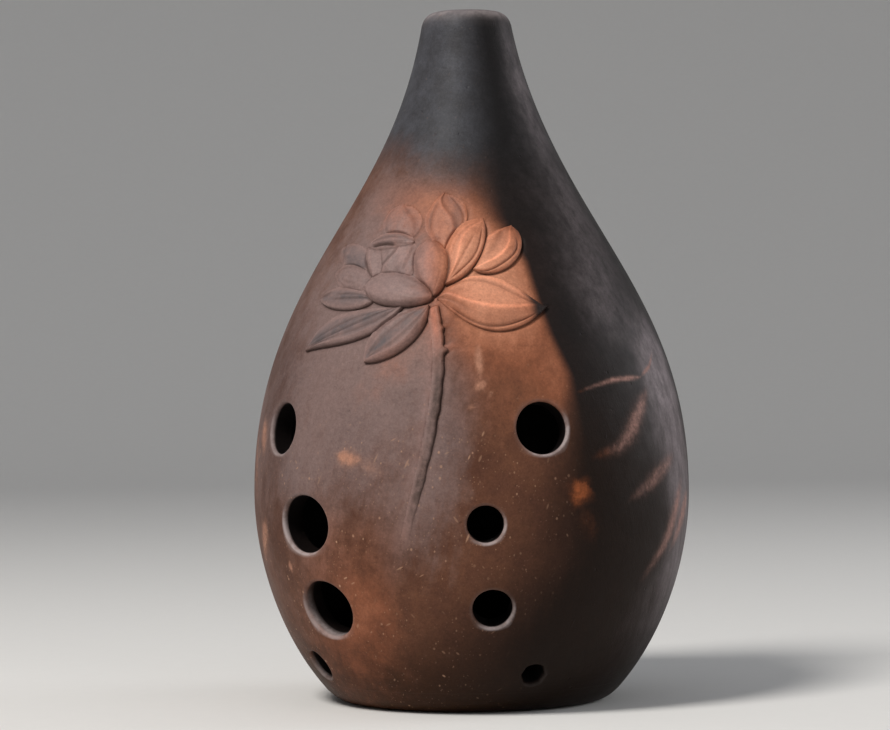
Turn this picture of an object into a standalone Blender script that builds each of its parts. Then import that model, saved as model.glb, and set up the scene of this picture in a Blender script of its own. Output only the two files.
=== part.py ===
"""A ten-hole pottery xun: a pear-shaped clay vessel flute with a lotus on its shoulder.

It is put together as a potter does it: a base disc, a lower wall that stands on it, an upper wall
and neck lapped over the lower wall at the girth, and lotus petals and a stem pressed onto the wall.
Metres, +Z up, the front faces -Y, the origin is the middle of the underside.
"""

import math
from collections import namedtuple

import bmesh
import bpy
import numpy as np
from mathutils import Vector

MM = 0.001

# Outline of the wall, from the foot over the girth to the mouth
HEIGHT = 140 * MM
FOOT_RADIUS = 28 * MM
FOOT_SLOPE = math.radians(44)  # how steeply the wall leaves the foot, from level
FOOT_FULLNESS = 15 * MM  # how far the wall keeps that slope
GIRTH_RADIUS = 44.5 * MM
GIRTH_HEIGHT = 42.5 * MM
FULLNESS_BELOW_GIRTH = 14.5 * MM
FULLNESS_ABOVE_GIRTH = 43.5 * MM
MOUTH_RADIUS = 9 * MM
NECK_LEAN = math.radians(9)  # how far the neck leans in at the mouth, from upright
NECK_FULLNESS = 41.5 * MM
FOOT_ROUND = 3 * MM
LIP_ROUND = 2.6 * MM
BORE_ROUND = 1.2 * MM

# Walls and the joints between the clay pieces
WALL = 5 * MM
BLOW_RADIUS = 4.8 * MM
SLIP_GAP = 0.3 * MM  # room for the slip between two pieces
BASE_THICKNESS = 4 * MM  # under the wall
BASE_BOSS = 2 * MM  # how far the base rises inside the wall
JOINT_RISE = 3 * MM  # girth joint above the widest place
LAP = 3 * MM  # height of the overlap at the girth joint

# Finger holes: degrees round from the front, to the right as seen from there, height, diameter up the
# wall, and how much wider than that the hole is worked
FingerHole = namedtuple("FingerHole", "name angle height diameter spread")
FINGER_HOLES = [
    FingerHole("left_index", -39, 56 * MM, 10.2 * MM, 1),
    FingerHole("right_index", 39, 56 * MM, 10.2 * MM, 1),
    FingerHole("left_middle", -27.5, 37.3 * MM, 11.4 * MM, 1.16),
    FingerHole("right_middle", 24, 37.7 * MM, 7.2 * MM, 1),
    FingerHole("left_ring", -24.2, 20.5 * MM, 11.8 * MM, 1.08),
    FingerHole("right_ring", 26, 21.2 * MM, 7.8 * MM, 1),
    FingerHole("left_little", -41.5, 8.4 * MM, 6.6 * MM, 1),
    FingerHole("right_little", 40.5, 7.7 * MM, 4.8 * MM, 1),
    FingerHole("left_thumb", -156, 57 * MM, 10 * MM, 1),
    FingerHole("right_thumb", 156, 57 * MM, 10 * MM, 1),
]
HOLE_EASE = 0.6 * MM  # the rim of a hole is eased by this much
CUT_MARGIN = 3 * MM  # how far a hole's cutter runs past both faces of the wall

# The lotus: where its stem meets its petals, on the wall
LOTUS_ANGLE = math.radians(8.7)
LOTUS_HEIGHT = 81 * MM
PETAL_EDGE = 0.5 * MM  # thickness of a petal at its edge
PETAL_END = 0.3 * MM  # half the width of a petal's blunt root and tip
PETAL_GAP = 0.4 * MM  # between a petal and the one that overlies it
CROWN_FULLNESS = 0.6  # how soon a petal reaches its crown from its ends, sooner if smaller
TRIM_DEPTH = 2 * MM  # how far a trimming cutter reaches below the wall's face
TRIM_RISE = 8 * MM

# Petals from the back of the flower to its front. Places are across and up along the wall from the
# lotus's own point, in millimetres, and so are the bow of the midline to the left, the widths and
# the crown. A side is its greatest width and how far along the petal that lies. A larger taper
# gives more pointed ends, and a larger fold a rounder top.
Petal = namedtuple("Petal", "name root tip bow left right taper crown fold")
PETALS = [
    Petal("petal_back_left", (-7.8, 13), (-8.2, 21.8), 0, (5.0, 0.52), (4.2, 0.52), 1.0, 1.2, 2.0),
    Petal("petal_top", (1.4, 11), (0.2, 24.4), 0, (4.1, 0.5), (4.6, 0.56), 1.4, 1.3, 1.4),
    Petal("petal_far_left", (-16, 7.4), (-24.2, 12), 0, (2.4, 0.55), (2.9, 0.42), 1.0, 1.0, 1.8),
    Petal("petal_side", (-14.2, 3.8), (-24.4, 6), 0, (2.1, 0.5), (3.0, 0.55), 1.2, 1.2, 1.6),
    Petal("petal_left", (-13.6, 0.4), (-28.2, 0.3), 0, (2.1, 0.42), (2.3, 0.62), 1.1, 1.2, 1.6),
    Petal("petal_heart", (-5.6, 6.4), (-9.4, 12), 0, (3.2, 0.45), (3.0, 0.5), 1.0, 1.0, 1.8),
    Petal("petal_inner", (-12.9, 6.2), (-15.3, 12.2), 0, (1.5, 0.55), (2.2, 0.55), 1.0, 1.1, 1.6),
    Petal("petal_curled", (-6.4, 12.9), (-15, 12.2), -0.6, (1.0, 0.5), (2.0, 0.5), 1.0, 1.6, 1.8),
    Petal("petal_outer_right", (7.4, 6.4), (14.2, 16.3), -1.5, (3.9, 0.6), (4.3, 0.52), 1.2, 1.5, 1.4),
    Petal("petal_lower_right", (1.6, -0.4), (23, -1.9), 0, (5.8, 0.37), (5.9, 0.56), 2.1, 1.7, 1.4),
    Petal("petal_right", (2.2, 3), (8.4, 17.9), 0, (4.4, 0.62), (3.5, 0.46), 1.4, 1.8, 1.4),
    Petal("petal_lower_left", (-6.6, -2.8), (-29, -10.4), 0, (3.2, 0.36), (3.2, 0.74), 2.4, 1.5, 1.4),
    Petal("petal_lower", (-0.6, -1.4), (-12.4, -13.8), 0, (4.2, 0.5), (3.7, 0.6), 1.3, 2.0, 1.5),
    Petal("petal_centre", (0.2, 0.9), (-2.1, 13), 0, (3.7, 0.58), (3.8, 0.58), 1.0, 2.4, 2.2),
    Petal("petal_front", (0.3, -0.4), (-14.9, 2.7), 0, (2.9, 0.58), (4.9, 0.58), 0.95, 2.6, 2.2),
]

# The stem runs down the wall along a cubic curve through these places, as across and up
STEM_PATH = [(0.1, -1.6), (4.1, -13.5), (2.3, -27), (-4.6, -49.2)]
STEM_TOP_WIDTH = 2.2 * MM
STEM_FOOT_WIDTH = 0.9 * MM
STEM_TOP_RISE = 1.0 * MM
STEM_FOOT_RISE = 0.4 * MM
STEM_EDGE_DROP = 0.6  # share of the rise that is lost at the stem's edges
THORN_PLACE = 0.24  # share of the stem's length
THORN_REACH = 1.0 * MM
THORN_SPREAD = 0.016  # share of the stem's length

# How finely the round forms are faceted
TURN_STEPS = 56
HOLE_STEPS = 24
OUTLINE_SAMPLES = 300
CORNER_STEPS = 4
OUTER_STATIONS = 13
INNER_STATIONS = 10
LOWER_STATIONS = 9
PETAL_ROWS = 11
PETAL_COLUMNS = 7
STEM_ROWS = 33
STEM_COLUMNS = 5
SHARP_ANGLE = math.radians(35)
MERGE_DISTANCE = 0.0001 * MM

JOINT_HEIGHT = GIRTH_HEIGHT + JOINT_RISE
WALL_SEAT = BASE_THICKNESS + SLIP_GAP


def clear_scene():
    for obj in list(bpy.data.objects):
        bpy.data.objects.remove(obj, do_unlink=True)


def cubic(points, count):
    """Points along the cubic curve with these four control points."""
    start, leave, arrive, end = (np.array(point, dtype=float) for point in points)
    t = np.linspace(0, 1, count)[:, None]
    return (1 - t) ** 3 * start + 3 * (1 - t) ** 2 * t * leave + 3 * (1 - t) * t**2 * arrive + t**3 * end


def wall_outline():
    """The wall's outer outline as rows of radius and height, from the foot to the mouth."""
    foot_pull = (math.cos(FOOT_SLOPE) * FOOT_FULLNESS, math.sin(FOOT_SLOPE) * FOOT_FULLNESS)
    neck_pull = (math.sin(NECK_LEAN) * NECK_FULLNESS, math.cos(NECK_LEAN) * NECK_FULLNESS)
    below = [
        (FOOT_RADIUS, 0),
        (FOOT_RADIUS + foot_pull[0], foot_pull[1]),
        (GIRTH_RADIUS, GIRTH_HEIGHT - FULLNESS_BELOW_GIRTH),
        (GIRTH_RADIUS, GIRTH_HEIGHT),
    ]
    above = [
        (GIRTH_RADIUS, GIRTH_HEIGHT),
        (GIRTH_RADIUS, GIRTH_HEIGHT + FULLNESS_ABOVE_GIRTH),
        (MOUTH_RADIUS + neck_pull[0], HEIGHT - neck_pull[1]),
        (MOUTH_RADIUS, HEIGHT),
    ]
    return np.vstack([cubic(below, OUTLINE_SAMPLES), cubic(above, OUTLINE_SAMPLES)[1:]])


OUTLINE = wall_outline()
ARC = np.concatenate([[0], np.cumsum(np.linalg.norm(np.diff(OUTLINE, axis=0), axis=1))])
TANGENT = np.gradient(OUTLINE, ARC, axis=0)
NORMAL = np.stack([TANGENT[:, 1], -TANGENT[:, 0]], axis=1)
NORMAL /= np.linalg.norm(NORMAL, axis=1, keepdims=True)
INNER = OUTLINE - WALL * NORMAL


def outer_radius(height):
    return np.interp(height, OUTLINE[:, 1], OUTLINE[:, 0])


def inner_radius(height):
    """Radius of the chamber, which is no narrower than the blow hole."""
    return np.maximum(np.interp(height, INNER[:, 1], INNER[:, 0]), BLOW_RADIUS)


def stations(radius_at, low, high, count):
    """Rows of radius and height from low to high on the outer or the inner wall."""
    heights = np.linspace(low, high, count)
    return [(float(radius_at(height)), float(height)) for height in heights]


def soft_corner(before, corner, after):
    """A corner rounded over by a quadratic curve between the points before and after it."""
    before, corner, after = (np.array(point) for point in (before, corner, after))
    shares = np.linspace(0, 1, CORNER_STEPS + 1)
    return [tuple((1 - t) ** 2 * before + 2 * t * (1 - t) * corner + t**2 * after) for t in shares]


LAP_RADIUS = float(outer_radius(JOINT_HEIGHT)) - WALL / 2


def upper_profile():
    """Section of the upper wall: up the outside, over the lip, down the bore and the chamber."""
    rounding = min(1, (MOUTH_RADIUS - BLOW_RADIUS) / (LIP_ROUND + BORE_ROUND))
    lip = LIP_ROUND * rounding
    bore = BORE_ROUND * rounding
    throat = float(np.interp(-BLOW_RADIUS, -INNER[OUTLINE_SAMPLES:, 0], INNER[OUTLINE_SAMPLES:, 1]))
    outer_seat = JOINT_HEIGHT + SLIP_GAP
    inner_seat = JOINT_HEIGHT + LAP + SLIP_GAP
    outside = stations(outer_radius, outer_seat, HEIGHT - lip, OUTER_STATIONS)
    over_lip = soft_corner(outside[-1], (MOUTH_RADIUS, HEIGHT), (MOUTH_RADIUS - lip, HEIGHT))
    into_bore = soft_corner(
        (BLOW_RADIUS + bore, HEIGHT), (BLOW_RADIUS, HEIGHT), (BLOW_RADIUS, HEIGHT - bore)
    )
    chamber = stations(inner_radius, inner_seat, throat, INNER_STATIONS)[::-1]
    rebate = [(LAP_RADIUS + SLIP_GAP, inner_seat), (LAP_RADIUS + SLIP_GAP, outer_seat)]
    return outside[:-1] + over_lip + into_bore + chamber + rebate


def lower_profile():
    """Section of the lower wall: up the outside, over the lap's spigot and down the chamber."""
    outside = stations(outer_radius, WALL_SEAT, JOINT_HEIGHT, LOWER_STATIONS)
    spigot = [(LAP_RADIUS, JOINT_HEIGHT), (LAP_RADIUS, JOINT_HEIGHT + LAP)]
    chamber = stations(inner_radius, WALL_SEAT, JOINT_HEIGHT + LAP, LOWER_STATIONS)[::-1]
    return outside + spigot + chamber


def base_profile():
    """Section of the base disc, from the middle of its boss round to the middle of its underside."""
    boss_radius = float(inner_radius(WALL_SEAT)) - SLIP_GAP
    boss_top = BASE_THICKNESS + BASE_BOSS
    round_start = [float(np.interp(FOOT_ROUND, ARC, OUTLINE[:, part])) for part in (0, 1)]
    foot = soft_corner(round_start, (FOOT_RADIUS, 0), (FOOT_RADIUS - FOOT_ROUND, 0))
    return [
        (0, boss_top),
        (boss_radius, boss_top),
        (boss_radius, BASE_THICKNESS),
        (float(outer_radius(BASE_THICKNESS)), BASE_THICKNESS),
        *foot,
        (0, 0),
    ]


def mesh_from(bm, name):
    """Closes up a bmesh, turns its faces outwards and keeps it as a mesh."""
    bmesh.ops.remove_doubles(bm, verts=bm.verts, dist=MERGE_DISTANCE)
    bmesh.ops.recalc_face_normals(bm, faces=bm.faces)
    mesh = bpy.data.meshes.new(name)
    bm.to_mesh(mesh)
    bm.free()
    mesh.shade_smooth()
    mesh.set_sharp_from_angle(angle=SHARP_ANGLE)
    return mesh


def turned(name, profile, closed, steps):
    """A solid turned about Z from a section given as rows of radius and height."""
    bm = bmesh.new()
    points = [bm.verts.new((radius, 0, height)) for radius, height in profile]
    pairs = list(zip(points, points[1:]))
    if closed:
        pairs.append((points[-1], points[0]))
    edges = [bm.edges.new(pair) for pair in pairs]
    bmesh.ops.spin(
        bm, geom=points + edges, axis=(0, 0, 1), cent=(0, 0, 0), angle=math.tau, steps=steps, use_merge=True
    )
    return mesh_from(bm, name)


def clay(name, colour, roughness):
    material = bpy.data.materials.new(name + "_clay")
    material.use_nodes = True
    shader = material.node_tree.nodes["Principled BSDF"]
    shader.inputs["Base Color"].default_value = (*colour, 1)
    shader.inputs["Roughness"].default_value = roughness
    shader.inputs["Metallic"].default_value = 0
    return material


def add_piece(name, mesh, colour, roughness, parent):
    piece = bpy.data.objects.new(name, mesh)
    piece.parent = parent
    mesh.materials.append(clay(name, colour, roughness))
    bpy.context.scene.collection.objects.link(piece)
    return piece


def add_cutter(name, mesh, collection):
    cutter = bpy.data.objects.new(name, mesh)
    cutter.hide_render = True
    cutter.display_type = "WIRE"
    collection.objects.link(cutter)
    return cutter


def new_collection(name):
    collection = bpy.data.collections.new(name)
    bpy.context.scene.collection.children.link(collection)
    return collection


def wall_normal_at(height):
    """Outward normal of the wall at this height, as its radial and upward parts."""
    return np.array([np.interp(height, OUTLINE[:, 1], NORMAL[:, part]) for part in (0, 1)])


def hole_cutter(hole, collection):
    """A pin square to the wall at the hole, widening where it leaves the outer face."""
    radius = hole.diameter / 2
    flared = radius + HOLE_EASE + CUT_MARGIN
    pin = [
        (0, CUT_MARGIN),
        (flared, CUT_MARGIN),
        (radius, -HOLE_EASE),
        (radius, -WALL - CUT_MARGIN),
        (0, -WALL - CUT_MARGIN),
    ]
    name = "cut_" + hole.name
    cutter = add_cutter(name, turned(name, pin, False, HOLE_STEPS), collection)
    angle = math.radians(hole.angle)
    outward, upward = wall_normal_at(hole.height)
    normal = Vector((outward * math.sin(angle), -outward * math.cos(angle), upward))
    wall_radius = float(outer_radius(hole.height))
    cutter.location = (wall_radius * math.sin(angle), -wall_radius * math.cos(angle), hole.height)
    cutter.rotation_euler = normal.to_track_quat("Z", "Y").to_euler()
    cutter.scale = (hole.spread, 1, 1)


def on_wall(across, up, lift):
    """Points on the wall: across and up along it from the lotus's own point, raised by lift."""
    arc = np.interp(LOTUS_HEIGHT, OUTLINE[:, 1], ARC) + up
    radius, height = (np.interp(arc, ARC, OUTLINE[:, part]) for part in (0, 1))
    outward, upward = (np.interp(arc, ARC, NORMAL[:, part]) for part in (0, 1))
    angle = LOTUS_ANGLE + across / radius
    reach = radius + lift * outward
    return np.stack([reach * np.sin(angle), -reach * np.cos(angle), height + lift * upward], axis=-1)


def petal_midline(petal, grow):
    """Midline of a petal along its rows: points and the unit vectors to its left."""
    root, tip = np.array(petal.root) * MM, np.array(petal.tip) * MM
    along = (tip - root) / np.linalg.norm(tip - root)
    root, tip = root - along * grow, tip + along * grow
    middle = (root + tip) / 2 + 2 * petal.bow * MM * np.array([-along[1], along[0]])
    t = petal_rows()[:, None]
    points = (1 - t) ** 2 * root + 2 * t * (1 - t) * middle + t**2 * tip
    heading = (1 - t) * (middle - root) + t * (tip - middle)
    heading /= np.linalg.norm(heading, axis=1, keepdims=True)
    return points, np.stack([-heading[:, 1], heading[:, 0]], axis=1)


def petal_rows():
    """Shares of a petal's length, closer together at its ends."""
    return (1 - np.cos(np.linspace(0, math.pi, PETAL_ROWS))) / 2


def side_width(side, taper):
    """Width of one side of a petal along its rows, greatest at the side's own peak."""
    width, peak = side
    t = petal_rows()
    swell = (t / peak) ** (taper * peak) * ((1 - t) / (1 - peak)) ** (taper * (1 - peak))
    return PETAL_END + width * MM * swell


def petal_plan(petal, grow=0):
    """Across and up of a petal's grid of rows and columns, its outline moved out by grow."""
    points, leftward = petal_midline(petal, grow)
    column = np.linspace(-1, 1, PETAL_COLUMNS)[None, :]
    left = (side_width(petal.left, petal.taper) + grow)[:, None]
    right = (side_width(petal.right, petal.taper) + grow)[:, None]
    offset = np.where(column > 0, column * left, column * right)[..., None]
    return points[:, None, :] + offset * leftward[:, None, :]


def slab(name, plan, bottom, top):
    """A closed solid on the wall between two lifts over a grid of across and up."""
    rows, columns = plan.shape[:2]
    layers = [on_wall(plan[..., 0], plan[..., 1], lift).reshape(-1, 3) for lift in (bottom, top)]
    bm = bmesh.new()
    lower, upper = ([bm.verts.new(point) for point in layer] for layer in layers)
    for layer in (lower, upper):
        for row in range(rows - 1):
            for column in range(columns - 1):
                first = row * columns + column
                corners = (first, first + 1, first + columns + 1, first + columns)
                bm.faces.new([layer[corner] for corner in corners])
    rim = [column for column in range(columns)]
    rim += [row * columns + columns - 1 for row in range(1, rows)]
    rim += [(rows - 1) * columns + column for column in range(columns - 2, -1, -1)]
    rim += [row * columns for row in range(rows - 2, 0, -1)]
    for here, there in zip(rim, rim[1:] + rim[:1]):
        bm.faces.new([lower[here], lower[there], upper[there], upper[here]])
    bmesh.ops.triangulate(bm, faces=bm.faces)  # four corners on the curved wall don't lie in one plane
    return mesh_from(bm, name)


def petal_mesh(petal):
    """A petal pressed onto the wall: a thin edge all round and a crown along its middle."""
    column = np.abs(np.linspace(-1, 1, PETAL_COLUMNS))[None, :]
    along = np.sin(math.pi * petal_rows())[:, None] ** CROWN_FULLNESS
    crown = petal.crown * MM * along * (1 - column**petal.fold)
    return slab(petal.name, petal_plan(petal), SLIP_GAP, SLIP_GAP + PETAL_EDGE + crown)


def stem_mesh(name):
    """The stem: a tapering rounded bar along its path, with one thorn on its right."""
    t = np.linspace(0, 1, STEM_ROWS)
    points = cubic(STEM_PATH, STEM_ROWS) * MM
    heading = np.gradient(points, axis=0)
    heading /= np.linalg.norm(heading, axis=1, keepdims=True)
    leftward = np.stack([-heading[:, 1], heading[:, 0]], axis=1)
    half = (STEM_TOP_WIDTH + (STEM_FOOT_WIDTH - STEM_TOP_WIDTH) * t) / 2
    thorn = THORN_REACH * np.exp(-(((t - THORN_PLACE) / THORN_SPREAD) ** 2))
    column = np.linspace(-1, 1, STEM_COLUMNS)[None, :]
    offset = np.where(column > 0, column * (half + thorn)[:, None], column * half[:, None])
    plan = points[:, None, :] + offset[..., None] * leftward[:, None, :]
    rise = STEM_TOP_RISE + (STEM_FOOT_RISE - STEM_TOP_RISE) * t
    top = SLIP_GAP + rise[:, None] * (1 - STEM_EDGE_DROP * column**2)
    return slab(name, plan, SLIP_GAP, top)


def cut_all(piece, cutters):
    """Takes every cutter in a collection out of a piece in one cut."""
    trim = piece.modifiers.new(cutters.name, "BOOLEAN")
    trim.operation = "DIFFERENCE"
    trim.operand_type = "COLLECTION"
    trim.collection = cutters


def plans_meet(plan, other):
    """Whether the boxes round two plans overlap."""
    low, high = plan.reshape(-1, 2).min(axis=0), plan.reshape(-1, 2).max(axis=0)
    other_low, other_high = other.reshape(-1, 2).min(axis=0), other.reshape(-1, 2).max(axis=0)
    return bool(np.all(low < other_high) and np.all(other_low < high))


SMOKED_BROWN = (0.075, 0.042, 0.030)
SMOKED_BLACK = (0.040, 0.033, 0.031)
EMBER_BROWN = (0.190, 0.085, 0.048)
BURNISHED = 0.45
CARVED = 0.55


def build_vessel(parent):
    holes = new_collection("hole_cutters")
    for hole in FINGER_HOLES:
        hole_cutter(hole, holes)
    base = turned("base_disc", base_profile(), False, TURN_STEPS)
    add_piece("base_disc", base, SMOKED_BLACK, CARVED, parent)
    lower = turned("lower_shell", lower_profile(), True, TURN_STEPS)
    upper = turned("upper_shell", upper_profile(), True, TURN_STEPS)
    for mesh in (lower, upper):
        cut_all(add_piece(mesh.name, mesh, SMOKED_BROWN, BURNISHED, parent), holes)


def build_lotus(parent):
    """The stem and the petals, each trimmed back from every petal that overlies it."""
    stem = add_piece("lotus_stem", stem_mesh("lotus_stem"), SMOKED_BROWN, CARVED, parent)
    pieces = [(stem, None)]
    grown_plans = []
    for petal in PETALS:
        piece = add_piece(petal.name, petal_mesh(petal), EMBER_BROWN, CARVED, parent)
        pieces.append((piece, petal_plan(petal)))
        grown_plans.append(petal_plan(petal, PETAL_GAP))
    for place, (piece, plan) in enumerate(pieces):
        over = [grown for grown in grown_plans[place:] if plan is None or plans_meet(plan, grown)]
        if not over:
            continue
        trims = new_collection("over_" + piece.name)
        for count, grown in enumerate(over):
            trim_name = f"trim_{piece.name}_{count}"
            add_cutter(trim_name, slab(trim_name, grown, -TRIM_DEPTH, TRIM_RISE), trims)
        cut_all(piece, trims)


def build():
    clear_scene()
    xun = bpy.data.objects.new("xun", None)
    bpy.context.scene.collection.objects.link(xun)
    build_vessel(xun)
    build_lotus(xun)


build()
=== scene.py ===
import bpy
import numpy as np
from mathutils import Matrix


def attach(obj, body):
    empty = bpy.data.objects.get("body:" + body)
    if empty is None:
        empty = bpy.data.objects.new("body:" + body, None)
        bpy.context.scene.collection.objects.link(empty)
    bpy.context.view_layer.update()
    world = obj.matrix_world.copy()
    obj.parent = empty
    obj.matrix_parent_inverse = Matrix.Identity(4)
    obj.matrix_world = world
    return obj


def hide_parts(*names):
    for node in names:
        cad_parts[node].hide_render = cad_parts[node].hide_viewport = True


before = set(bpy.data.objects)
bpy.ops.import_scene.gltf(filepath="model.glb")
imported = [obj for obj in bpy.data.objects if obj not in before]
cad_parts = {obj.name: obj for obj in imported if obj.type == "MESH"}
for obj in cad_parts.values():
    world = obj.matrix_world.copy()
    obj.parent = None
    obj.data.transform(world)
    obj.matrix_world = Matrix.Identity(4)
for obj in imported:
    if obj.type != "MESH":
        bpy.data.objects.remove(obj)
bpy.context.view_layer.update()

# A ten-hole pottery xun, burnished and smoke-fired, with a lotus in relief on its shoulder.
# Sizes are in millimetres and angles in degrees from the front (-Y), to the right as seen from there.

scene = bpy.context.scene
mm = 0.001
print("frame loaded:", len(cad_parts), "nodes")


# the wall's outline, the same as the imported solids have
wall = dict(
    height=140, girthRadius=44.5, girthHeight=42.5, fullBelow=14.5, fullAbove=43.5,
    footRadius=28, footSlope=44, footFull=15, footRound=3,
    mouthRadius=9, neckLean=9, neckFull=41.5, lipRound=2.6,
    thick=5, blowRadius=4.8, boreRound=1.2, boreDepth=2.2,
    baseSeam=4.15, bossTop=6, bossRoom=0.5, girthSeam=45.65, lap=3, lapClear=1,
    seamLines=(0.08, 0.2),     # close lines on both sides of the base's seam, which hide it
    sink=0.25,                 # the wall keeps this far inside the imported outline, more than its unevenness
    waves=[(0.07, 2, 0.05, 1), (0.06, 3, -0.09, 0), (0.04, 5, 0.13, 2)],     # size, rounds, climb, phase
    outlineSteps=500, lipSteps=12, boreSteps=7, footSteps=9, seatSteps=5,     # points along each curve
    underLeast=4, underRings=6,                      # level rings under the base, and the least one's radius
)


def cubicCurve(points, t):
    # the four points, each weighted by its Bernstein term
    t = t[:, None]
    a, b, c, d = np.array(points, float)
    return (1 - t)**3 * a + 3 * (1 - t)**2 * t * b + 3 * (1 - t) * t**2 * c + t**3 * d


def quadraticCurve(points, t):
    # the three points, each weighted by its Bernstein term
    t = t[:, None]
    a, b, c = np.array(points, float)
    return (1 - t)**2 * a + 2 * t * (1 - t) * b + t**2 * c


def wallOutline():
    # two cubic curves, foot to girth and girth to mouth, as radius and height
    w = wall
    slope, lean = np.radians(w["footSlope"]), np.radians(w["neckLean"])
    foot = np.array([w["footRadius"], 0])
    girth = np.array([w["girthRadius"], w["girthHeight"]])
    mouth = np.array([w["mouthRadius"], w["height"]])
    below = [foot, foot + w["footFull"] * np.array([np.cos(slope), np.sin(slope)]),
             girth - [0, w["fullBelow"]], girth]
    above = [girth, girth + [0, w["fullAbove"]],
             mouth + w["neckFull"] * np.array([np.sin(lean), -np.cos(lean)]), mouth]
    shares = np.linspace(0, 1, w["outlineSteps"])
    return np.vstack([cubicCurve(below, shares), cubicCurve(above, shares)[1:]])


outline = wallOutline()
outlineArc = np.concatenate([[0], np.cumsum(np.linalg.norm(np.diff(outline, axis=0), axis=1))])
outlineRun = np.gradient(outline, outlineArc, axis=0)
outlineBend = np.gradient(np.unwrap(np.arctan2(outlineRun[:, 1], outlineRun[:, 0])), outlineArc)


def wallAt(arc):
    # radius, height and the outward and upward parts of the normal, at a length along the outline
    columns = outline[:, 0], outline[:, 1], outlineRun[:, 1], -outlineRun[:, 0]
    return [np.interp(arc, outlineArc, column) for column in columns]


def arcAt(height):
    # the length along the outline at a height
    return np.interp(height, outline[:, 1], outlineArc)


def radiusAt(height):
    # the outline's radius at a height
    return np.interp(height, outline[:, 1], outline[:, 0])


def turned(angle, radius, height):
    # radius and height swung round the axis to an angle
    return np.stack(np.broadcast_arrays(radius * np.sin(angle), -radius * np.cos(angle), height), axis=-1)


def unevenness(angle, height):
    # slow waves round and up the wall that a paddle and a burnishing stone leave, under 0.18 mm in all
    return sum(size * np.sin(rounds * angle + climb * height + phase)
               for size, rounds, climb, phase in wall["waves"])


def onWall(angle, arc, lift):
    # the outline's point swung to its angle, moved out along the wall's normal by lift less the sink
    radius, height, outward, upward = wallAt(arc)
    lift = lift - wall["sink"] + unevenness(angle, height)
    return turned(angle, radius + lift * outward, height + lift * upward)


def insideWall(angle, arc):
    # the outline moved in by the wall's thickness, and never narrower than the blow hole
    radius, height, outward, upward = wallAt(arc)
    radius = np.maximum(radius - wall["thick"] * outward, wall["blowRadius"])
    return turned(angle, radius, height - wall["thick"] * upward)


def smooth(low, high, value):
    # 0 at low, 1 at high, an easy S between them; low may be the larger
    t = np.clip((value - low) / (high - low), 0, 1)
    return t * t * (3 - 2 * t)


def bell(distance, width=1.0):
    # 1 at no distance, falling away as a Gaussian of this width
    return np.exp(-(distance / width)**2)


# mesh making: points go in as arrays, faces as arrays of point numbers
sharpAngle = 52         # edges that bend by more degrees than this are shaded as sharp


def startMesh():
    # an empty mesh: its points with their tones, its faces, and how many points it has
    return dict(points=[], tones=[], quads=[], tris=[], count=0)


def putPoints(mesh, xyz, creaseShade=0.0, wornAndHighlit=0.0, ash=0.0):
    # beside its place a point keeps how dark its painted crease shade is, how worn it is with a painted
    # highlight and how ashen it is, each from 0 to 1
    numbers = mesh["count"] + np.arange(xyz.size // 3).reshape(xyz.shape[:-1])
    tones = [np.broadcast_to(k, numbers.shape).ravel() for k in (creaseShade, wornAndHighlit, ash)]
    mesh["points"].append(xyz.reshape(-1, 3))
    mesh["tones"].append(np.stack(tones, axis=1))
    mesh["count"] += numbers.size
    return numbers


def putPole(mesh, height):
    # one point on the axis
    return putPoints(mesh, np.array([[0, 0, float(height)]]))[0]


def putSheet(mesh, rows, closed=True, keep=None, flip=False):
    # four-cornered faces between neighbouring rows and columns of point numbers
    here = rows if closed else rows[:, :-1]
    there = np.roll(rows, -1, axis=1) if closed else rows[:, 1:]
    quads = np.stack([here[:-1], there[:-1], there[1:], here[1:]], axis=-1)
    quads = quads.reshape(-1, 4) if keep is None else quads[keep]
    mesh["quads"].append(quads[:, ::-1] if flip else quads)


def putBand(mesh, fine, coarse, flip=False):
    # three triangles for every two points of a closed ring and one point of a ring half as dense
    even, odd, nextEven = fine[0::2], fine[1::2], np.roll(fine[0::2], -1)
    nextCoarse = np.roll(coarse, -1)
    corners = [(even, odd, coarse), (odd, nextCoarse, coarse), (odd, nextEven, nextCoarse)]
    tris = np.concatenate([np.stack(c, axis=-1) for c in corners])
    mesh["tris"].append(tris[:, ::-1] if flip else tris)


def putFan(mesh, ring, pole, closed=True, flip=False):
    # triangles from one point to each edge of a ring or a row
    here, there = (ring, np.roll(ring, -1)) if closed else (ring[:-1], ring[1:])
    tris = np.stack([here, there, np.full_like(here, pole)], axis=-1)
    mesh["tris"].append(tris[:, ::-1] if flip else tris)


def putValues(data, label, values):
    # one number for each point, which the clay reads by its label
    data.attributes.new(label, "FLOAT", "POINT").data.foreach_set("value", values.astype(np.float32))


def finishMesh(mesh, name):
    # drops the points that no face uses and hands everything over in metres
    points, tones = np.vstack(mesh["points"]), np.vstack(mesh["tones"])
    faces = [f for f in mesh["quads"] + mesh["tris"] if len(f)]
    used = np.unique(np.concatenate([f.ravel() for f in faces]))
    renumber = np.zeros(len(points), int)
    renumber[used] = np.arange(len(used))
    data = bpy.data.meshes.new(name)
    corners = [face for f in faces for face in renumber[f].tolist()]
    data.from_pydata((points[used] * mm).tolist(), [], corners)
    data.validate()
    data.shade_smooth()
    data.set_sharp_from_angle(angle=np.radians(sharpAngle))
    for label, values in zip(("creaseShade", "wornAndHighlit", "ash"), tones[used].T):
        putValues(data, label, values)
    return data


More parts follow.
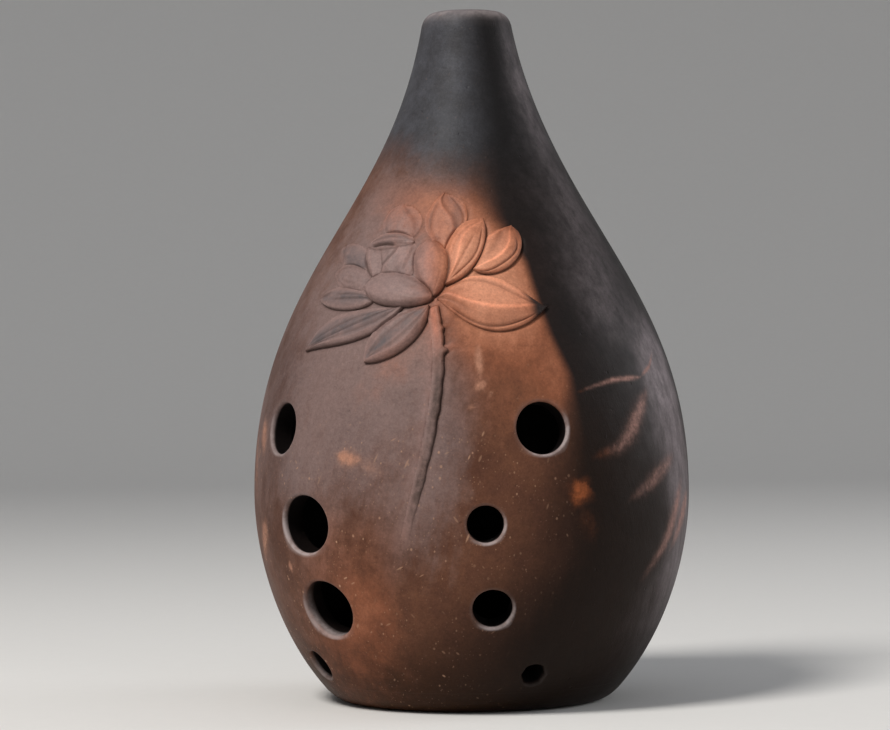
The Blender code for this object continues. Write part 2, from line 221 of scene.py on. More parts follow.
# the lotus, drawn on the wall as across and up from its own point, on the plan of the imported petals
lotus = dict(
    angle=8.7, height=81,
    shade=(0.62, -0.78),             # the side that edges are undercut on and painted in shade, right and down
    undercut=(-0.15, 0.65),          # how far an edge faces that side where its undercut begins and is full
    groove=0.34, grooveWidth=0.55,   # the knife's line along those edges
    hollow=0.12, hollowWidth=2.2,    # how the ground is scraped back beside it
    reach=6.0, frontReach=3.0,       # how far an edge is felt on the ground, and on a petal behind it
    seat=1.0,                        # how deep the wall is cut under a petal
    seatShaded=(0, -0.9), seatLit=(-0.3, -1.3),      # distances from an edge where that begins and is full
    creaseShadeWide=(0.14, 0.16),         # width of the painted shade in a crease: the least, and more by its undercut
    foot=-0.62, litUnder=0.04,       # lift of a petal's hidden edge, and how low a lit edge begins
    crownBlunt=0.6,                  # power of the crown along a petal, which keeps it full near the ends
    easy=1.5, easyShare=0.55,        # how far in a lit edge rises, at most this share of the petal's width
    roll=0.55, rollShare=0.6,        # how far in a shaded edge turns down, at most this share of the width
    tooling=0.045,                   # waves that the knife leaves
    wornAndHighlitWide=0.075,                  # width of the wear and painted highlight along a ridge
    ashAt=(0, 0.6), ashLeast=0.3,    # place and width of the ash across a petal, and the share beside it
    ashEdge=(-0.2, -1.4),            # distances from the edge where the ash begins and is full
    edgeDark=(0.9, 0.16),            # how dark the painted shade of a shaded edge is, and how wide
    frontDark=(0.10, 0.85),          # painted shade beside a petal in front: the least, and more by its undercut
    frontGroove=0.5,                 # share of the knife's line that goes into a petal behind
    frontSink=(-0.75, -0.05),        # distances from a petal in front where this one is sunk and free
    sunkLeast=0.04,                  # share of its lift that is left where it is sunk
    lineOrder=4,                     # highest power of the curve that a cut line follows
    lineStart=(-0.10, 0.05), lineEnd=(0.08, -0.05),  # where it comes in, from its first and its last place
    lineDark=(1.7, 0.8), lineWornAndHighlit=(1.6, 0.4), stepDark=(0.5, 0.3),     # painted shade, and wear with a painted highlight: tone by the height, and the most
    stepBeside=1.1,                  # how far beside a step its painted shade lies, in step widths
    rows=110, columns=81, edgeSteps=48,
)
lotusArc = arcAt(lotus["height"])

# plan: root, tip, bow to the left, left and right width with its place along the petal, and taper
# relief: heights of the left and right edge, crown with its ridge and its fold to each side, lines and
# steps (height, width, then places along and across), rings (count, depth), roll of the shaded edge, how
# much that edge is cut under, and the knife's tooling
# tone: how worn the ridge is, with a painted highlight, and how wide, how ashen the face is and where
# (place across, width), a band of painted shade (strength, place across, width) and how far the petal
# keeps clear of the smoke and its painted shade
petals = dict(
    petal_back_left=dict(
        root=(-7.8, 13), tip=(-8.2, 21.8), bow=0, left=(5.0, .52), right=(4.2, .52), taper=1.0,
        edges=(.20, .10), crown=.50, fold=(2.2, 1.8), ridge=-.1, cut=.5, ash=.2,
        steps=[(-.36, .12, [(.12, .85), (.29, .73), (.59, .46), (.83, .15), (1, -.1)])],
        lines=[(-.12, .12, [(.3, -.8), (.6, -.78), (.85, -.6)])]),
    petal_top=dict(
        root=(1.4, 11), tip=(0.2, 24.4), bow=0, left=(4.1, .5), right=(4.6, .56), taper=1.5,
        edges=(.20, .36), crown=.42, fold=(2.0, 2.0), ridge=-.2, cut=.7, ash=.5, ashAt=(.55, .3),
        steps=[(-.48, .11, [(.3, .5), (.44, .4), (.54, .32), (.68, .02), (.81, -.2), (1, -.2)])],
        lines=[(.16, .11, [(.3, .44), (.44, .34), (.54, .24), (.68, -.07), (.81, -.28), (1, -.27)]),
               (-.18, .07, [(.36, .8), (.57, .8), (.73, .68), (.9, .5)]),
               (-.22, .10, [(.36, -.74), (.58, -.65), (.79, -.5)])]),
    petal_far_left=dict(
        root=(-14.8, 7.0), tip=(-24.6, 12.2), bow=0, left=(2.9, .55), right=(3.6, .42), taper=1.0,
        edges=(.05, .08), crown=.36, fold=(2.0, 2.0), ridge=0, cut=.25, ash=.9,
        lines=[(-.22, .2, [(.72, -.9), (.84, 0), (.95, .9)]), (.08, .25, [(.1, .1), (.5, .2), (.9, .1)])]),
    petal_side=dict(
        root=(-13.0, 3.6), tip=(-24.8, 6), bow=0, left=(2.9, .5), right=(3.5, .55), taper=1.2,
        edges=(.10, .14), crown=.40, fold=(1.8, 1.8), ridge=.1, rings=(2.6, .12), cut=.35, ash=.3,
        lines=[(-.16, .16, [(.3, .82), (.6, .8), (.85, .6)])]),
    petal_left=dict(
        root=(-12.4, .5), tip=(-28.2, .3), bow=0, left=(2.5, .42), right=(2.8, .62), taper=1.1,
        edges=(.34, .08), crown=.44, fold=(1.8, 1.5), ridge=-.2, cut=.85, ash=.95, ashAt=(.1, .5),
        lines=[(-.20, .10, [(.02, -.05), (.3, -.05), (.66, -.1)]),
               (-.18, .10, [(.02, .4), (.3, .42), (.62, .3)]), (.10, .10, [(.02, .2), (.3, .2), (.6, .1)]),
               (-.36, .26, [(.8, .5), (.9, .45), (.98, .4)])]),
    petal_heart=dict(
        root=(-6.0, 4.6), tip=(-9.9, 13.8), bow=0, left=(5.2, .45), right=(4.4, .5), taper=.8,
        edges=(.14, .20), crown=.28, fold=(1.8, 1.8), ridge=.2, cut=.2, ash=.25, tooling=.075, wornAndHighlit=.4,
        wornAndHighlitWide=.28,
        lines=[(-.26, .13, [(.46, -.95), (.6, -.4), (.82, .3)]),
               (.16, .12, [(.34, -.9), (.5, -.4), (.72, .25)]),
               (-.16, .10, [(.22, .1), (.4, .42), (.58, .8)]),
               (-.12, .14, [(.1, -.7), (.26, -.2), (.36, .1)])]),
    petal_inner=dict(
        root=(-12.9, 4.8), tip=(-15.3, 12.6), bow=0, left=(2.0, .5), right=(2.4, .5), taper=.9,
        edges=(.34, .16), crown=.36, fold=(1.7, 1.7), ridge=-.1, cut=.35, wornAndHighlit=.25,
        lines=[(-.55, .20, [(.04, -.6), (.3, -.8), (.55, -.85)])]),
    petal_curled=dict(
        root=(-5.0, 12.8), tip=(-15.8, 12.0), bow=-0.6, left=(1.6, .5), right=(2.6, .5), taper=1.0,
        edges=(.26, .10), crown=.50, fold=(1.8, 1.4), ridge=.2, cut=.4, ash=.4,
        lines=[(-.60, .18, [(.42, -.5), (.65, -.32), (.86, -.36)]),
               (-.20, .12, [(.3, .35), (.6, .45), (.95, .4)]),
               (.12, .12, [(.2, .05), (.6, .1), (.9, .05)])]),
    petal_outer_right=dict(
        root=(7.4, 6.4), tip=(14.2, 16.3), bow=-1.5, left=(3.9, .6), right=(4.3, .52), taper=1.4,
        edges=(.26, .42), crown=.85, fold=(.70, 1.6), wornAndHighlit=1.0, clear=2.6, shade=(.24, -.35, .4),
        ridge=[(.0, .22), (.22, .2), (.49, .26), (.68, .22), (.87, -.04), (1, -.2)],
        lines=[(-.36, .06, [(.06, .82), (.16, .78), (.35, .7), (.58, .74), (.75, .6)]),
               (.24, .12, [(.4, -.9), (.7, -.88), (.9, -.66)]),
               (-.26, .24, [(.42, -.3), (.62, -.35), (.84, -.5)])]),
    petal_lower_right=dict(
        root=(1.0, -.2), tip=(23, -1.9), bow=0, left=(5.8, .37), right=(5.9, .56), taper=2.0,
        edges=(.26, .26), crown=1.2, fold=(.8, 1.3), wornAndHighlit=1.0, clear=-1.5, shade=(.26, .62, .34),
        ridge=[(.04, -.5), (.1, -.34), (.18, -.09), (.31, .13), (.44, .22), (.6, .21), (.8, .15),
               (.98, .05)],
        lines=[(-.40, .055, [(.16, .76), (.26, .83), (.35, .87), (.43, .88), (.63, .83), (.85, .72)]),
               (-.22, .09, [(.12, -.88), (.27, -.83), (.4, -.75), (.58, -.6), (.73, -.4), (.85, -.2)]),
               (.22, .12, [(.12, -1), (.27, -.98), (.4, -.93), (.58, -.82), (.73, -.66)]),
               (-.18, .15, [(.05, -.08), (.14, .16), (.24, .36), (.34, .5)])]),
    petal_right=dict(
        root=(2.2, 3), tip=(8.4, 17.9), bow=0, left=(4.4, .62), right=(3.5, .46), taper=1.5,
        edges=(.30, .60), crown=.68, fold=(.8, 2.0), wornAndHighlit=.7, clear=2.0, shade=(.2, .5, .35),
        ridge=[(.1, .14), (.17, .09), (.39, -.1), (.62, -.33), (.8, -.3), (.94, .05)],
        lines=[(.20, .10, [(.1, -.5), (.4, -.56), (.7, -.62), (.9, -.4)]),
               (-.19, .09, [(.15, .25), (.4, .16), (.7, .1)]),
               (-.30, .06, [(.15, .5), (.23, .56), (.42, .7), (.63, .68), (.8, .55)])]),
    petal_lower_left=dict(
        root=(-5.6, -.9), tip=(-30, -10.8), bow=0, left=(3.4, .36), right=(3.9, .66), taper=2.2,
        edges=(.48, .05), crown=.42, fold=(1.8, 1.2), ridge=-.35, ash=1.0, ashAt=(.15, .55), wornAndHighlit=.3,
        lines=[(-.20, .08, [(.08, .05), (.5, -.05), (.92, .1)]),
               (-.16, .08, [(.05, -.42), (.5, -.42), (.9, -.2)]),
               (.12, .09, [(.1, -.2), (.5, -.22), (.9, 0)]), (-.17, .08, [(.1, .5), (.5, .4), (.85, .3)]),
               (.10, .10, [(.1, .3), (.5, .2), (.85, .2)]),
               (.12, .10, [(.3, -.7), (.6, -.7), (.9, -.5)])]),
    petal_lower=dict(
        root=(-.6, -1.2), tip=(-13.2, -13.2), bow=0, left=(3.9, .46), right=(3.7, .6), taper=1.5,
        edges=(.62, .12), crown=.62, fold=(2.2, 1.3), ridge=-.3, roll=.9, ash=1.0, ashAt=(-.05, .4),
        wornAndHighlit=.3,
        lines=[(-.14, .10, [(.05, .22), (.37, .28), (.61, .29), (.9, .1)]),
               (.12, .10, [(.1, .5), (.5, .6), (.9, .3)]),
               (-.12, .10, [(.05, -.5), (.39, -.45), (.65, -.4), (.9, -.2)]),
               (.10, .10, [(.3, -.65), (.6, -.68), (.9, -.4)])]),
    petal_centre=dict(
        root=(.2, .5), tip=(-2.1, 13), bow=0, left=(3.7, .58), right=(3.8, .58), taper=1.0,
        edges=(.40, .70), crown=.80, fold=(1.9, 2.4), ridge=-.2, roll=1.7, ash=.06, wornAndHighlit=.5, wornAndHighlitWide=.5,
        lines=[(-.07, .08, [(.12, .35), (.21, .45), (.53, .62), (.77, .62), (.95, .4)])]),
    petal_front=dict(
        root=(.1, .2), tip=(-14.9, 2.7), bow=0, left=(3.1, .58), right=(4.6, .58), taper=.95,
        edges=(.76, .36), crown=.88, fold=(2.4, 1.9), ridge=-.1, roll=1.1, ash=.2, wornAndHighlit=.3, wornAndHighlitWide=.45),
)
# back to front, as the petals overlie one another
petalOrder = list(petals)


def rightOf(heading):
    # the direction to the right of each heading, of length 1
    heading = heading / np.linalg.norm(heading, axis=1, keepdims=True)
    return np.stack([heading[:, 1], -heading[:, 0]], axis=1)


def besideLine(points, rightward, offset):
    # every point of a line moved to its right by each offset, as a grid
    return points[:, None, :] + offset[..., None] * rightward[:, None, :]


def petalMidline(p, t):
    # quadratic curve from root to tip, bowed to the left in the middle, and the direction to its right
    root, tip = np.array(p["root"], float), np.array(p["tip"], float)
    along = (tip - root) / np.linalg.norm(tip - root)
    middle = (root + tip) / 2 + 2 * p["bow"] * np.array([-along[1], along[0]])
    heading = (1 - t[:, None]) * (middle - root) + t[:, None] * (tip - middle)
    return quadraticCurve([root, middle, tip], t), rightOf(heading)


def sideWidth(side, taper, t):
    # greatest at the side's own place, falling off to both ends as a power of the way left
    width, place = side
    return width * (t / place)**(taper * place) * ((1 - t) / (1 - place))**(taper * (1 - place))


def petalPlan(p, t, s):
    # midline plus s times the side's width, s from -1 at the left edge to 1 at the right
    points, rightward = petalMidline(p, t)
    left, right = (sideWidth(p[side], p["taper"], t)[:, None] for side in ("left", "right"))
    return besideLine(points, rightward, np.where(s > 0, s * right, s * left))


def endsDense(count):
    # shares from 0 to 1, closer together at both ends
    return (1 - np.cos(np.linspace(0, np.pi, count))) / 2


def edgesDense(count):
    # places across from -1 to 1, closer together at both edges
    return np.sin(np.linspace(-np.pi / 2, np.pi / 2, count))


def petalRing(p):
    # the petal's outline: up its left edge and back down its right
    edges = petalPlan(p, endsDense(lotus["edgeSteps"]), np.array([-1.0, 1.0]))
    return np.vstack([edges[:-1, 0], edges[:0:-1, 1]])


def towardsShade(outward):
    # how far a direction faces the shaded side of the flower, from 0 to 1
    return smooth(*lotus["undercut"], outward @ np.array(lotus["shade"]))


def nearestPart(points, starts, ends):
    # the straight part of a line that is nearest to each point: its number, the share along it and the way
    # from it
    p, a, b = points[:, None, :], starts[None], ends[None]
    share = np.clip(np.sum((p - a) * (b - a), axis=2) / np.sum((b - a)**2, axis=2), 0, 1)
    offset = p - a - share[..., None] * (b - a)
    nearest = np.linalg.norm(offset, axis=2).argmin(axis=1)
    rows = np.arange(len(nearest))
    return nearest, share[rows, nearest], offset[rows, nearest]


def edgeDistance(points, ring, reach):
    # least distance to the ring's edges, negative inside it, for points within reach of it, and how far
    # the nearest edge faces the shaded side: the way out from it times the shaded direction
    shape = points.shape[:-1]
    points = points.reshape(-1, 2)
    found, facing = np.full(len(points), reach), np.zeros(len(points))
    near = np.all((points > ring.min(0) - reach) & (points < ring.max(0) + reach), axis=1)
    after = np.roll(ring, -1, axis=0)
    offset = nearestPart(points[near], ring, after)[2]
    length = np.linalg.norm(offset, axis=1)
    across, up = points[near][:, :1], points[near][:, 1:]
    crosses = (ring[:, 1] > up) != (after[:, 1] > up)
    rise = np.where(crosses, after[:, 1] - ring[:, 1], 1)
    meets = ring[:, 0] + (up - ring[:, 1]) / rise * (after[:, 0] - ring[:, 0])
    inside = np.sum(crosses & (across < meets), axis=1) % 2 == 1
    side = np.where(inside, -1, 1)
    found[near] = np.minimum(side * length, reach)
    facing[near] = towardsShade(side[:, None] * offset / np.maximum(length, 1e-6)[:, None])
    return found.reshape(shape), facing.reshape(shape)


petalRings = {name: petalRing(p) for name, p in petals.items()}

stem = dict(
    path=[(0.1, -1.6), (4.1, -13.5), (2.3, -27), (-4.6, -49.2)],
    topWidth=2.6, footWidth=2.2, topRise=0.62, footRise=0.02, riseBend=0.8,
    thorns=[(0.25, 1.0, 0.012), (0.135, 0.45, 0.014)],     # place along it, reach, spread
    waver=[(0.07, 41, 0), (0.06, 73, 1)],                  # waves of that edge: size, waves along it, phase
    lean=0.30, hump=0.25,              # how its section rises to its left hand and rounds off
    lit=(1, -0.75), turnDown=0.45,     # places across: where it eases up, and beyond which it turns down
    litUnder=0.03, endPower=60,        # how low its lit edge begins, and how short its ends are
    darkAcross=(-0.72, -1), darkAlong=(1, 0.5),    # where the painted shade of its shaded edge fades in
    wornAndHighlitAt=(0.1, 0.6), wornAndHighlitAlong=(0.42, 0.05),     # wear with a painted highlight: place across and width, and where along it fades in
    ashAlong=(0.12, 0.5), ashFoot=(1, 0.78), ashAcross=(0.9, 0.0),     # where the ash fades in
    fade=(-52, -26),                   # the places up between which the cut about it comes in
    seat=0.8,                          # how deep the wall is cut under it, as a share of a petal's seat
    seatShaded=(0.1, -0.5), seatLit=(-0.2, -0.8),  # distances from an edge where that begins and is full
    scrape=0.55, scrapeWidth=1.5,      # the worn strip along its lit side
    reach=2.0,                         # how far a petal's edge is felt on it
    petalSink=(-0.6, 0.1),             # distances from a petal where it is sunk and free
    petalDark=(0.1, 0.7, 0.24),        # painted shade beside a petal: the least, more by its undercut, and the width
    rows=240, columns=25, edgeSteps=120,
)


def stemPlan(t, s):
    # the stem's cubic path plus s times half its width, which tapers, wavers and swells at the thorns on its
    # left hand
    path = np.array(stem["path"], float)
    rightward = rightOf(quadraticCurve(np.diff(path, axis=0), t))
    points, t = cubicCurve(path, t), t[:, None]
    half = (stem["topWidth"] + (stem["footWidth"] - stem["topWidth"]) * t) / 2
    swell = sum(size * np.sin(count * t + phase) for size, count, phase in stem["waver"])
    for place, reach, spread in stem["thorns"]:
        swell = swell + reach * bell(t - place, spread)
    return besideLine(points, rightward, np.where(s < 0, s * (half + swell), s * half))


stemEdges = stemPlan(np.linspace(0, 1, stem["edgeSteps"]), np.array([-1.0, 1.0]))
stemRing = np.vstack([stemEdges[:, 0], stemEdges[::-1, 1]])


def planOf(angle, arc):
    # across and up of a place on the wall, from the lotus's own point
    radius = wallAt(arc)[0]
    return np.stack([(angle - np.radians(lotus["angle"])) * radius, arc - lotusArc], axis=-1)


def creaseShadeBell(outside, strength):
    # the painted shade of a crease by the distance from it, wider where the edge is cut under more
    least, more = lotus["creaseShadeWide"]
    return bell(outside, least + more * strength)


def lotusGround(angle, arc):
    # how far the wall is cut down, how dark its painted shade is and how worn the ground: along every edge
    # that faces the shaded side a groove, a bell curve of the distance, in a wide shallow hollow, under every
    # petal and the stem a seat, and along the stem's lit side a scraped strip; slow waves make the painted
    # shade and the wear uneven
    plan = planOf(angle, arc)
    across, up = plan[..., 0], plan[..., 1]
    cut, dark, scraped = np.zeros((3, *angle.shape))
    fade = smooth(*stem["fade"], up)
    uneven = 0.8 + 0.2 * np.sin(1.1 * across + 0.6 * up) * np.sin(0.7 * across - 1.3 * up + 1)
    for name, ring in [*petalRings.items(), ("stem", stemRing)]:
        apart, facing = edgeDistance(plan, ring, lotus["reach"])
        outside = np.maximum(apart, 0)
        if name == "stem":
            strength = facing * fade
            shadedSeat, litSeat = (smooth(*stem[key], apart) for key in ("seatShaded", "seatLit"))
            seat = stem["seat"] * fade * (facing * shadedSeat + (1 - facing) * litSeat)
            scraped = stem["scrape"] * fade * (1 - facing) * bell(outside, stem["scrapeWidth"])
        else:
            strength = facing * petals[name].get("cut", 1)
            shadedSeat, litSeat = (smooth(*lotus[key], apart) for key in ("seatShaded", "seatLit"))
            seat = strength * shadedSeat + (1 - strength) * litSeat
        groove = lotus["groove"] * bell(outside, lotus["grooveWidth"])
        hollow = lotus["hollow"] * bell(outside, lotus["hollowWidth"])
        cut = np.maximum(cut, np.maximum(strength * (groove + hollow), lotus["seat"] * seat))
        dark = np.maximum(dark, strength * creaseShadeBell(outside, strength))
    return cut, dark * uneven, scraped * uneven


# the ten holes, as in the imported solids: degrees round from the front, height, diameter up the wall,
# how much wider than that the hole is, how dark its bore with soot and painted shade, and how pale its
# worn rim with its painted highlight
fingerHoles = dict(
    leftIndex=(-39, 56, 10.2, 1, 1, .6), rightIndex=(39, 56, 10.2, 1, 1, 1),
    leftMiddle=(-27.5, 37.3, 11.4, 1.16, 1, 1), rightMiddle=(24, 37.7, 7.2, 1, 1, .9),
    leftRing=(-24.2, 20.5, 11.8, 1.08, .68, .75), rightRing=(26, 21.2, 7.8, 1, 1, .9),
    leftLittle=(-41.5, 8.4, 6.6, 1, .95, .7), rightLittle=(40.5, 7.7, 4.8, 1, 1, .08),
    leftThumb=(-156, 57, 10, 1, 1, .7), rightThumb=(156, 57, 10, 1, 1, .7),
)
holeShape = dict(
    ease=0.55, innerEase=0.4,           # how far a hole's rims are rounded, outside and in the chamber
    room=1.17, rings=4,                 # size of the frame about a hole, in holes, and its rings of faces
    easeSteps=6, boreShares=(.06, .12, .2, .45, .94),     # rings over the rim, then down the bore
)

# how far apart the wall's lines lie: degrees at each place round it, millimetres at each height
gridSpacing = dict(
    angles=(-180, -171, -141, -130, -74, -68, -46, -40, 47, 52, 106, 114, 130, 141, 171, 180),
    degrees=(1.8, 1.0, 1.0, 1.8, 1.8, .85, .85, .52, .52, .80, .80, 1.8, 1.8, 1.0, 1.0, 1.8),
    heights=(0, 44, 62, 66, 102, 108, 140),
    steps=(.66, .62, .70, .40, .40, 1.3, 1.3),
    sumSteps=4000,                      # how finely the running sum is taken
)


def spacedLines(low, high, places, spacing):
    # an even number of lines whose distance apart follows the spacing: equal steps of the running sum of
    # its inverse
    fine = np.linspace(low, high, gridSpacing["sumSteps"])
    local = np.interp((fine[1:] + fine[:-1]) / 2, places, spacing)
    crowd = np.concatenate([[0], np.cumsum(np.diff(fine) / local)])
    count = 2 * int(round(crowd[-1] / 2))
    return np.interp(np.linspace(0, crowd[-1], count + 1), crowd, fine)


columnAngles = np.radians(spacedLines(-180, 180, gridSpacing["angles"], gridSpacing["degrees"])[:-1])
halfAngles = columnAngles[::2]          # inside the wall every second line is enough


def rowArcs(lowHeight, highHeight):
    # the wall's rows between two heights, as lengths along the outline
    places = arcAt(np.array(gridSpacing["heights"]))
    return spacedLines(arcAt(lowHeight), arcAt(highHeight), places, gridSpacing["steps"])


def holeBlock(arcs, hole):
    # the block of grid cells that a hole takes, with even bounds, inside a frame of rings
    turn, height, diameter, spread = hole[:4]
    centre, arc = np.radians(turn), arcAt(height)
    reach = holeShape["room"] * (diameter / 2 + holeShape["ease"])
    half = spread * reach / wallAt(arc)[0]

    def bounds(low, high, lines):
        # the even line numbers nearest to both ends, less the frame
        low, high = np.interp([low, high], lines, np.arange(len(lines)))
        return [2 * int(np.round(k / 2)) for k in (low + holeShape["rings"], high - holeShape["rings"])]
    return bounds(centre - half, centre + half, columnAngles), bounds(arc - reach, arc + reach, arcs)


def warpToCircle(angle, arc, block, rings, centre, reach):
    # every ring of the frame is a share of the way from the circle to the frame's own outline
    (i0, i1), (j0, j1) = block
    i, j = np.meshgrid(np.arange(i0 - rings, i1 + rings + 1), np.arange(j0 - rings, j1 + rings + 1))
    iMiddle, jMiddle, iHalf, jHalf = (i0 + i1) / 2, (j0 + j1) / 2, (i1 - i0) / 2, (j1 - j0) / 2
    ring = np.maximum(np.maximum(abs(i - iMiddle) - iHalf, abs(j - jMiddle) - jHalf), 0)
    x = np.clip((i - iMiddle) / (iHalf + ring), -1, 1)
    y = np.clip((j - jMiddle) / (jHalf + ring), -1, 1)
    onSide = abs(x) >= abs(y)
    turn = np.where(onSide, np.where(x > 0, y, 4 - y), np.where(y > 0, 2 - x, x - 2)) * np.pi / 4
    share = ring / rings
    lineAngles, lineArcs = angle[0].copy(), arc[:, 0].copy()
    outerAngle = np.interp(iMiddle + (iHalf + rings) * x, np.arange(len(lineAngles)), lineAngles)
    outerArc = np.interp(jMiddle + (jHalf + rings) * y, np.arange(len(lineArcs)), lineArcs)
    angle[j, i] = (1 - share) * (centre[0] + reach[0] * np.cos(turn)) + share * outerAngle
    arc[j, i] = (1 - share) * (centre[1] + reach[1] * np.sin(turn)) + share * outerArc


def blockRing(grid, block):
    # what the grid holds along the block's border, counter-clockwise as seen from outside
    (i0, i1), (j0, j1) = block
    return np.concatenate([grid[j0, i0:i1], grid[j0:j1, i1], grid[j1, i1:i0:-1], grid[j1:j0:-1, i0]])


def holeFrame(hole):
    # the middle of a hole on the outline, the wall's normal there, the level direction to the right and the
    # wall's radius
    radius, height, outward, upward = wallAt(arcAt(hole[1]))
    turn = np.radians(hole[0])
    normal = np.array([outward * np.sin(turn), -outward * np.cos(turn), upward])
    return turned(turn, radius, height), normal, np.array([np.cos(turn), np.sin(turn), 0]), radius


def putBore(mesh, hole, outer, inner, outerXyz, innerXyz, block, half):
    # a rounded rim, then a straight bore: each ring is the rim moved in to the bore and down along the
    # wall's normal
    centre, normal = holeFrame(hole)[:2]
    rim, far = blockRing(outer, block), blockRing(inner, half)
    rimXyz, farXyz = blockRing(outerXyz, block), blockRing(innerXyz, half)
    away = rimXyz - centre
    away -= np.outer(away @ normal, normal)
    away /= np.linalg.norm(away, axis=1, keepdims=True)
    ease = holeShape["ease"]
    bends = np.linspace(0, np.pi / 2, holeShape["easeSteps"] + 1)[1:]
    rounded = [rimXyz - away * ease * np.sin(a) - normal * ease * (1 - np.cos(a)) for a in bends]
    coarse = (rounded[-1][::2] - farXyz) @ normal
    depth = np.stack([coarse, (coarse + np.roll(coarse, -1)) / 2], axis=1).ravel()[:, None]
    bore = [rounded[-1] - normal * depth * share for share in holeShape["boreShares"]]
    rows = np.vstack([rim[None], putPoints(mesh, np.array(rounded + bore))])
    putSheet(mesh, rows)
    putBand(mesh, rows[-1], far)


def wallSheet(mesh, arcs, holes, skip=0):
    # outer and inner grids of one wall piece with its holes, as arrays of point numbers
    angle, arc = np.meshgrid(columnAngles, arcs)
    innerAngle, innerArc = np.meshgrid(halfAngles, arcs[::2])
    keep = np.ones((len(arc) - 1, len(columnAngles)), bool)
    innerKeep = np.ones((len(innerArc) - 1, len(halfAngles)), bool)
    rings, thick = holeShape["rings"], wall["thick"]
    blocks = []
    for hole in holes:
        turn, height, diameter, spread = hole[:4]
        block = holeBlock(arcs, hole)
        half = [(low // 2, high // 2) for low, high in block]
        centre = np.radians(turn), arcAt(height)
        radius, _, outward, _ = wallAt(centre[1])
        bend = np.interp(centre[1], outlineArc, outlineBend)
        tall, innerTall = diameter / 2 + holeShape["ease"], diameter / 2 + holeShape["innerEase"]
        innerReach = spread * innerTall / (radius - thick * outward), innerTall / (1 - thick * bend)
        warpToCircle(angle, arc, block, rings, centre, (spread * tall / radius, tall))
        warpToCircle(innerAngle, innerArc, half, rings // 2, centre, innerReach)
        for cells, (columns, rows) in ((keep, block), (innerKeep, half)):
            cells[slice(*rows), slice(*columns)] = False
        blocks.append((block, half))
    cut, dark, scraped = lotusGround(angle, arc)
    outerXyz, innerXyz = onWall(angle, arc, -cut), insideWall(innerAngle, innerArc)
    outer, inner = putPoints(mesh, outerXyz, dark, scraped), putPoints(mesh, innerXyz)
    for hole, (block, half) in zip(holes, blocks):
        putBore(mesh, hole, outer, inner, outerXyz, innerXyz, block, half)
    putSheet(mesh, outer, keep=keep)
    putSheet(mesh, inner[skip:], keep=innerKeep[skip:], flip=True)
    return outer, inner[skip:]


# the lap at the girth: half the wall's thickness, up to where it ends on the inside of the wall
lapRadius = float(radiusAt(wall["girthSeam"])) - wall["thick"] / 2
lapTop = wall["girthSeam"] + wall["lap"]
lapInner = float(np.interp(lapTop, outline[:, 1] + wall["thick"] * outlineRun[:, 0],
                           outline[:, 0] - wall["thick"] * outlineRun[:, 1]))
lapCorners = [(lapRadius, wall["girthSeam"]), (lapRadius, lapTop), (lapInner, lapTop)]


def halfRing(mesh, radius, height):
    # a level ring with a point at every second of the wall's lines
    return putPoints(mesh, turned(halfAngles, np.full(len(halfAngles), float(radius)), float(height)))


def upperWall():
    # shoulder and neck: the outer wall, over the lip, down the bore and the chamber, and the lap's rebate
    mesh = startMesh()
    arcs = rowArcs(wall["girthSeam"], wall["height"] - wall["lipRound"])
    skip = int(np.argmax(wallAt(arcs[::2])[1] > lapTop + wall["lapClear"]))
    holes = [fingerHoles[name] for name in ("leftIndex", "rightIndex", "leftThumb", "rightThumb")]
    outer, inner = wallSheet(mesh, arcs, holes, skip)
    top, mouth, bore = wall["height"], wall["mouthRadius"], wall["blowRadius"]
    overLip = [wallAt(arcs[-1])[:2], (mouth, top), (mouth - wall["lipRound"], top)]
    intoBore = [(bore + wall["boreRound"], top), (bore, top), (bore, top - wall["boreRound"])]
    lip = quadraticCurve(overLip, np.linspace(0, 1, wall["lipSteps"]))[1:]
    into = quadraticCurve(intoBore, np.linspace(0, 1, wall["boreSteps"]))
    rim = np.vstack([lip, into, [(bore, top - wall["boreDepth"])]])
    sunk = wall["sink"] * np.stack([np.ones(len(rim)), smooth(bore, mouth, rim[:, 0])], axis=1)
    rim = rim - sunk * smooth(bore - 0.1, mouth, rim[:, :1])
    around = columnAngles[None, :]
    wavy = unevenness(around, rim[:, 1:]) * smooth(bore, mouth, rim[:, :1])
    rimRows = putPoints(mesh, turned(around, rim[:, :1] + wavy, rim[:, 1:]))
    putSheet(mesh, np.vstack([outer[-1:], rimRows]))
    putBand(mesh, rimRows[-1], inner[-1])
    rebate = [halfRing(mesh, radius, height) for radius, height in lapCorners[::-1]]
    putSheet(mesh, np.vstack([inner[:1], rebate]))
    putBand(mesh, outer[0], rebate[-1], flip=True)
    return mesh


def lowerWall():
    # foot to girth: the outer wall, the lap's spigot, the chamber and the seat on the base
    mesh = startMesh()
    arcs = rowArcs(wall["baseSeam"], wall["girthSeam"])
    arcs = np.concatenate([arcs[:1], arcs[0] + np.array(wall["seamLines"]), arcs[1:]])
    names = ("leftMiddle", "rightMiddle", "leftRing", "rightRing", "leftLittle", "rightLittle")
    outer, inner = wallSheet(mesh, arcs, [fingerHoles[name] for name in names])
    spigot = [halfRing(mesh, radius, height) for radius, height in lapCorners]
    putBand(mesh, outer[-1], spigot[0])
    putSheet(mesh, np.vstack([spigot, inner[-1:]]))
    seat = halfRing(mesh, wall["footRadius"] - wall["thick"] + wall["bossRoom"], wall["baseSeam"])
    putSheet(mesh, np.vstack([inner[:1], [seat]]))
    putBand(mesh, outer[0], seat, flip=True)
    return mesh


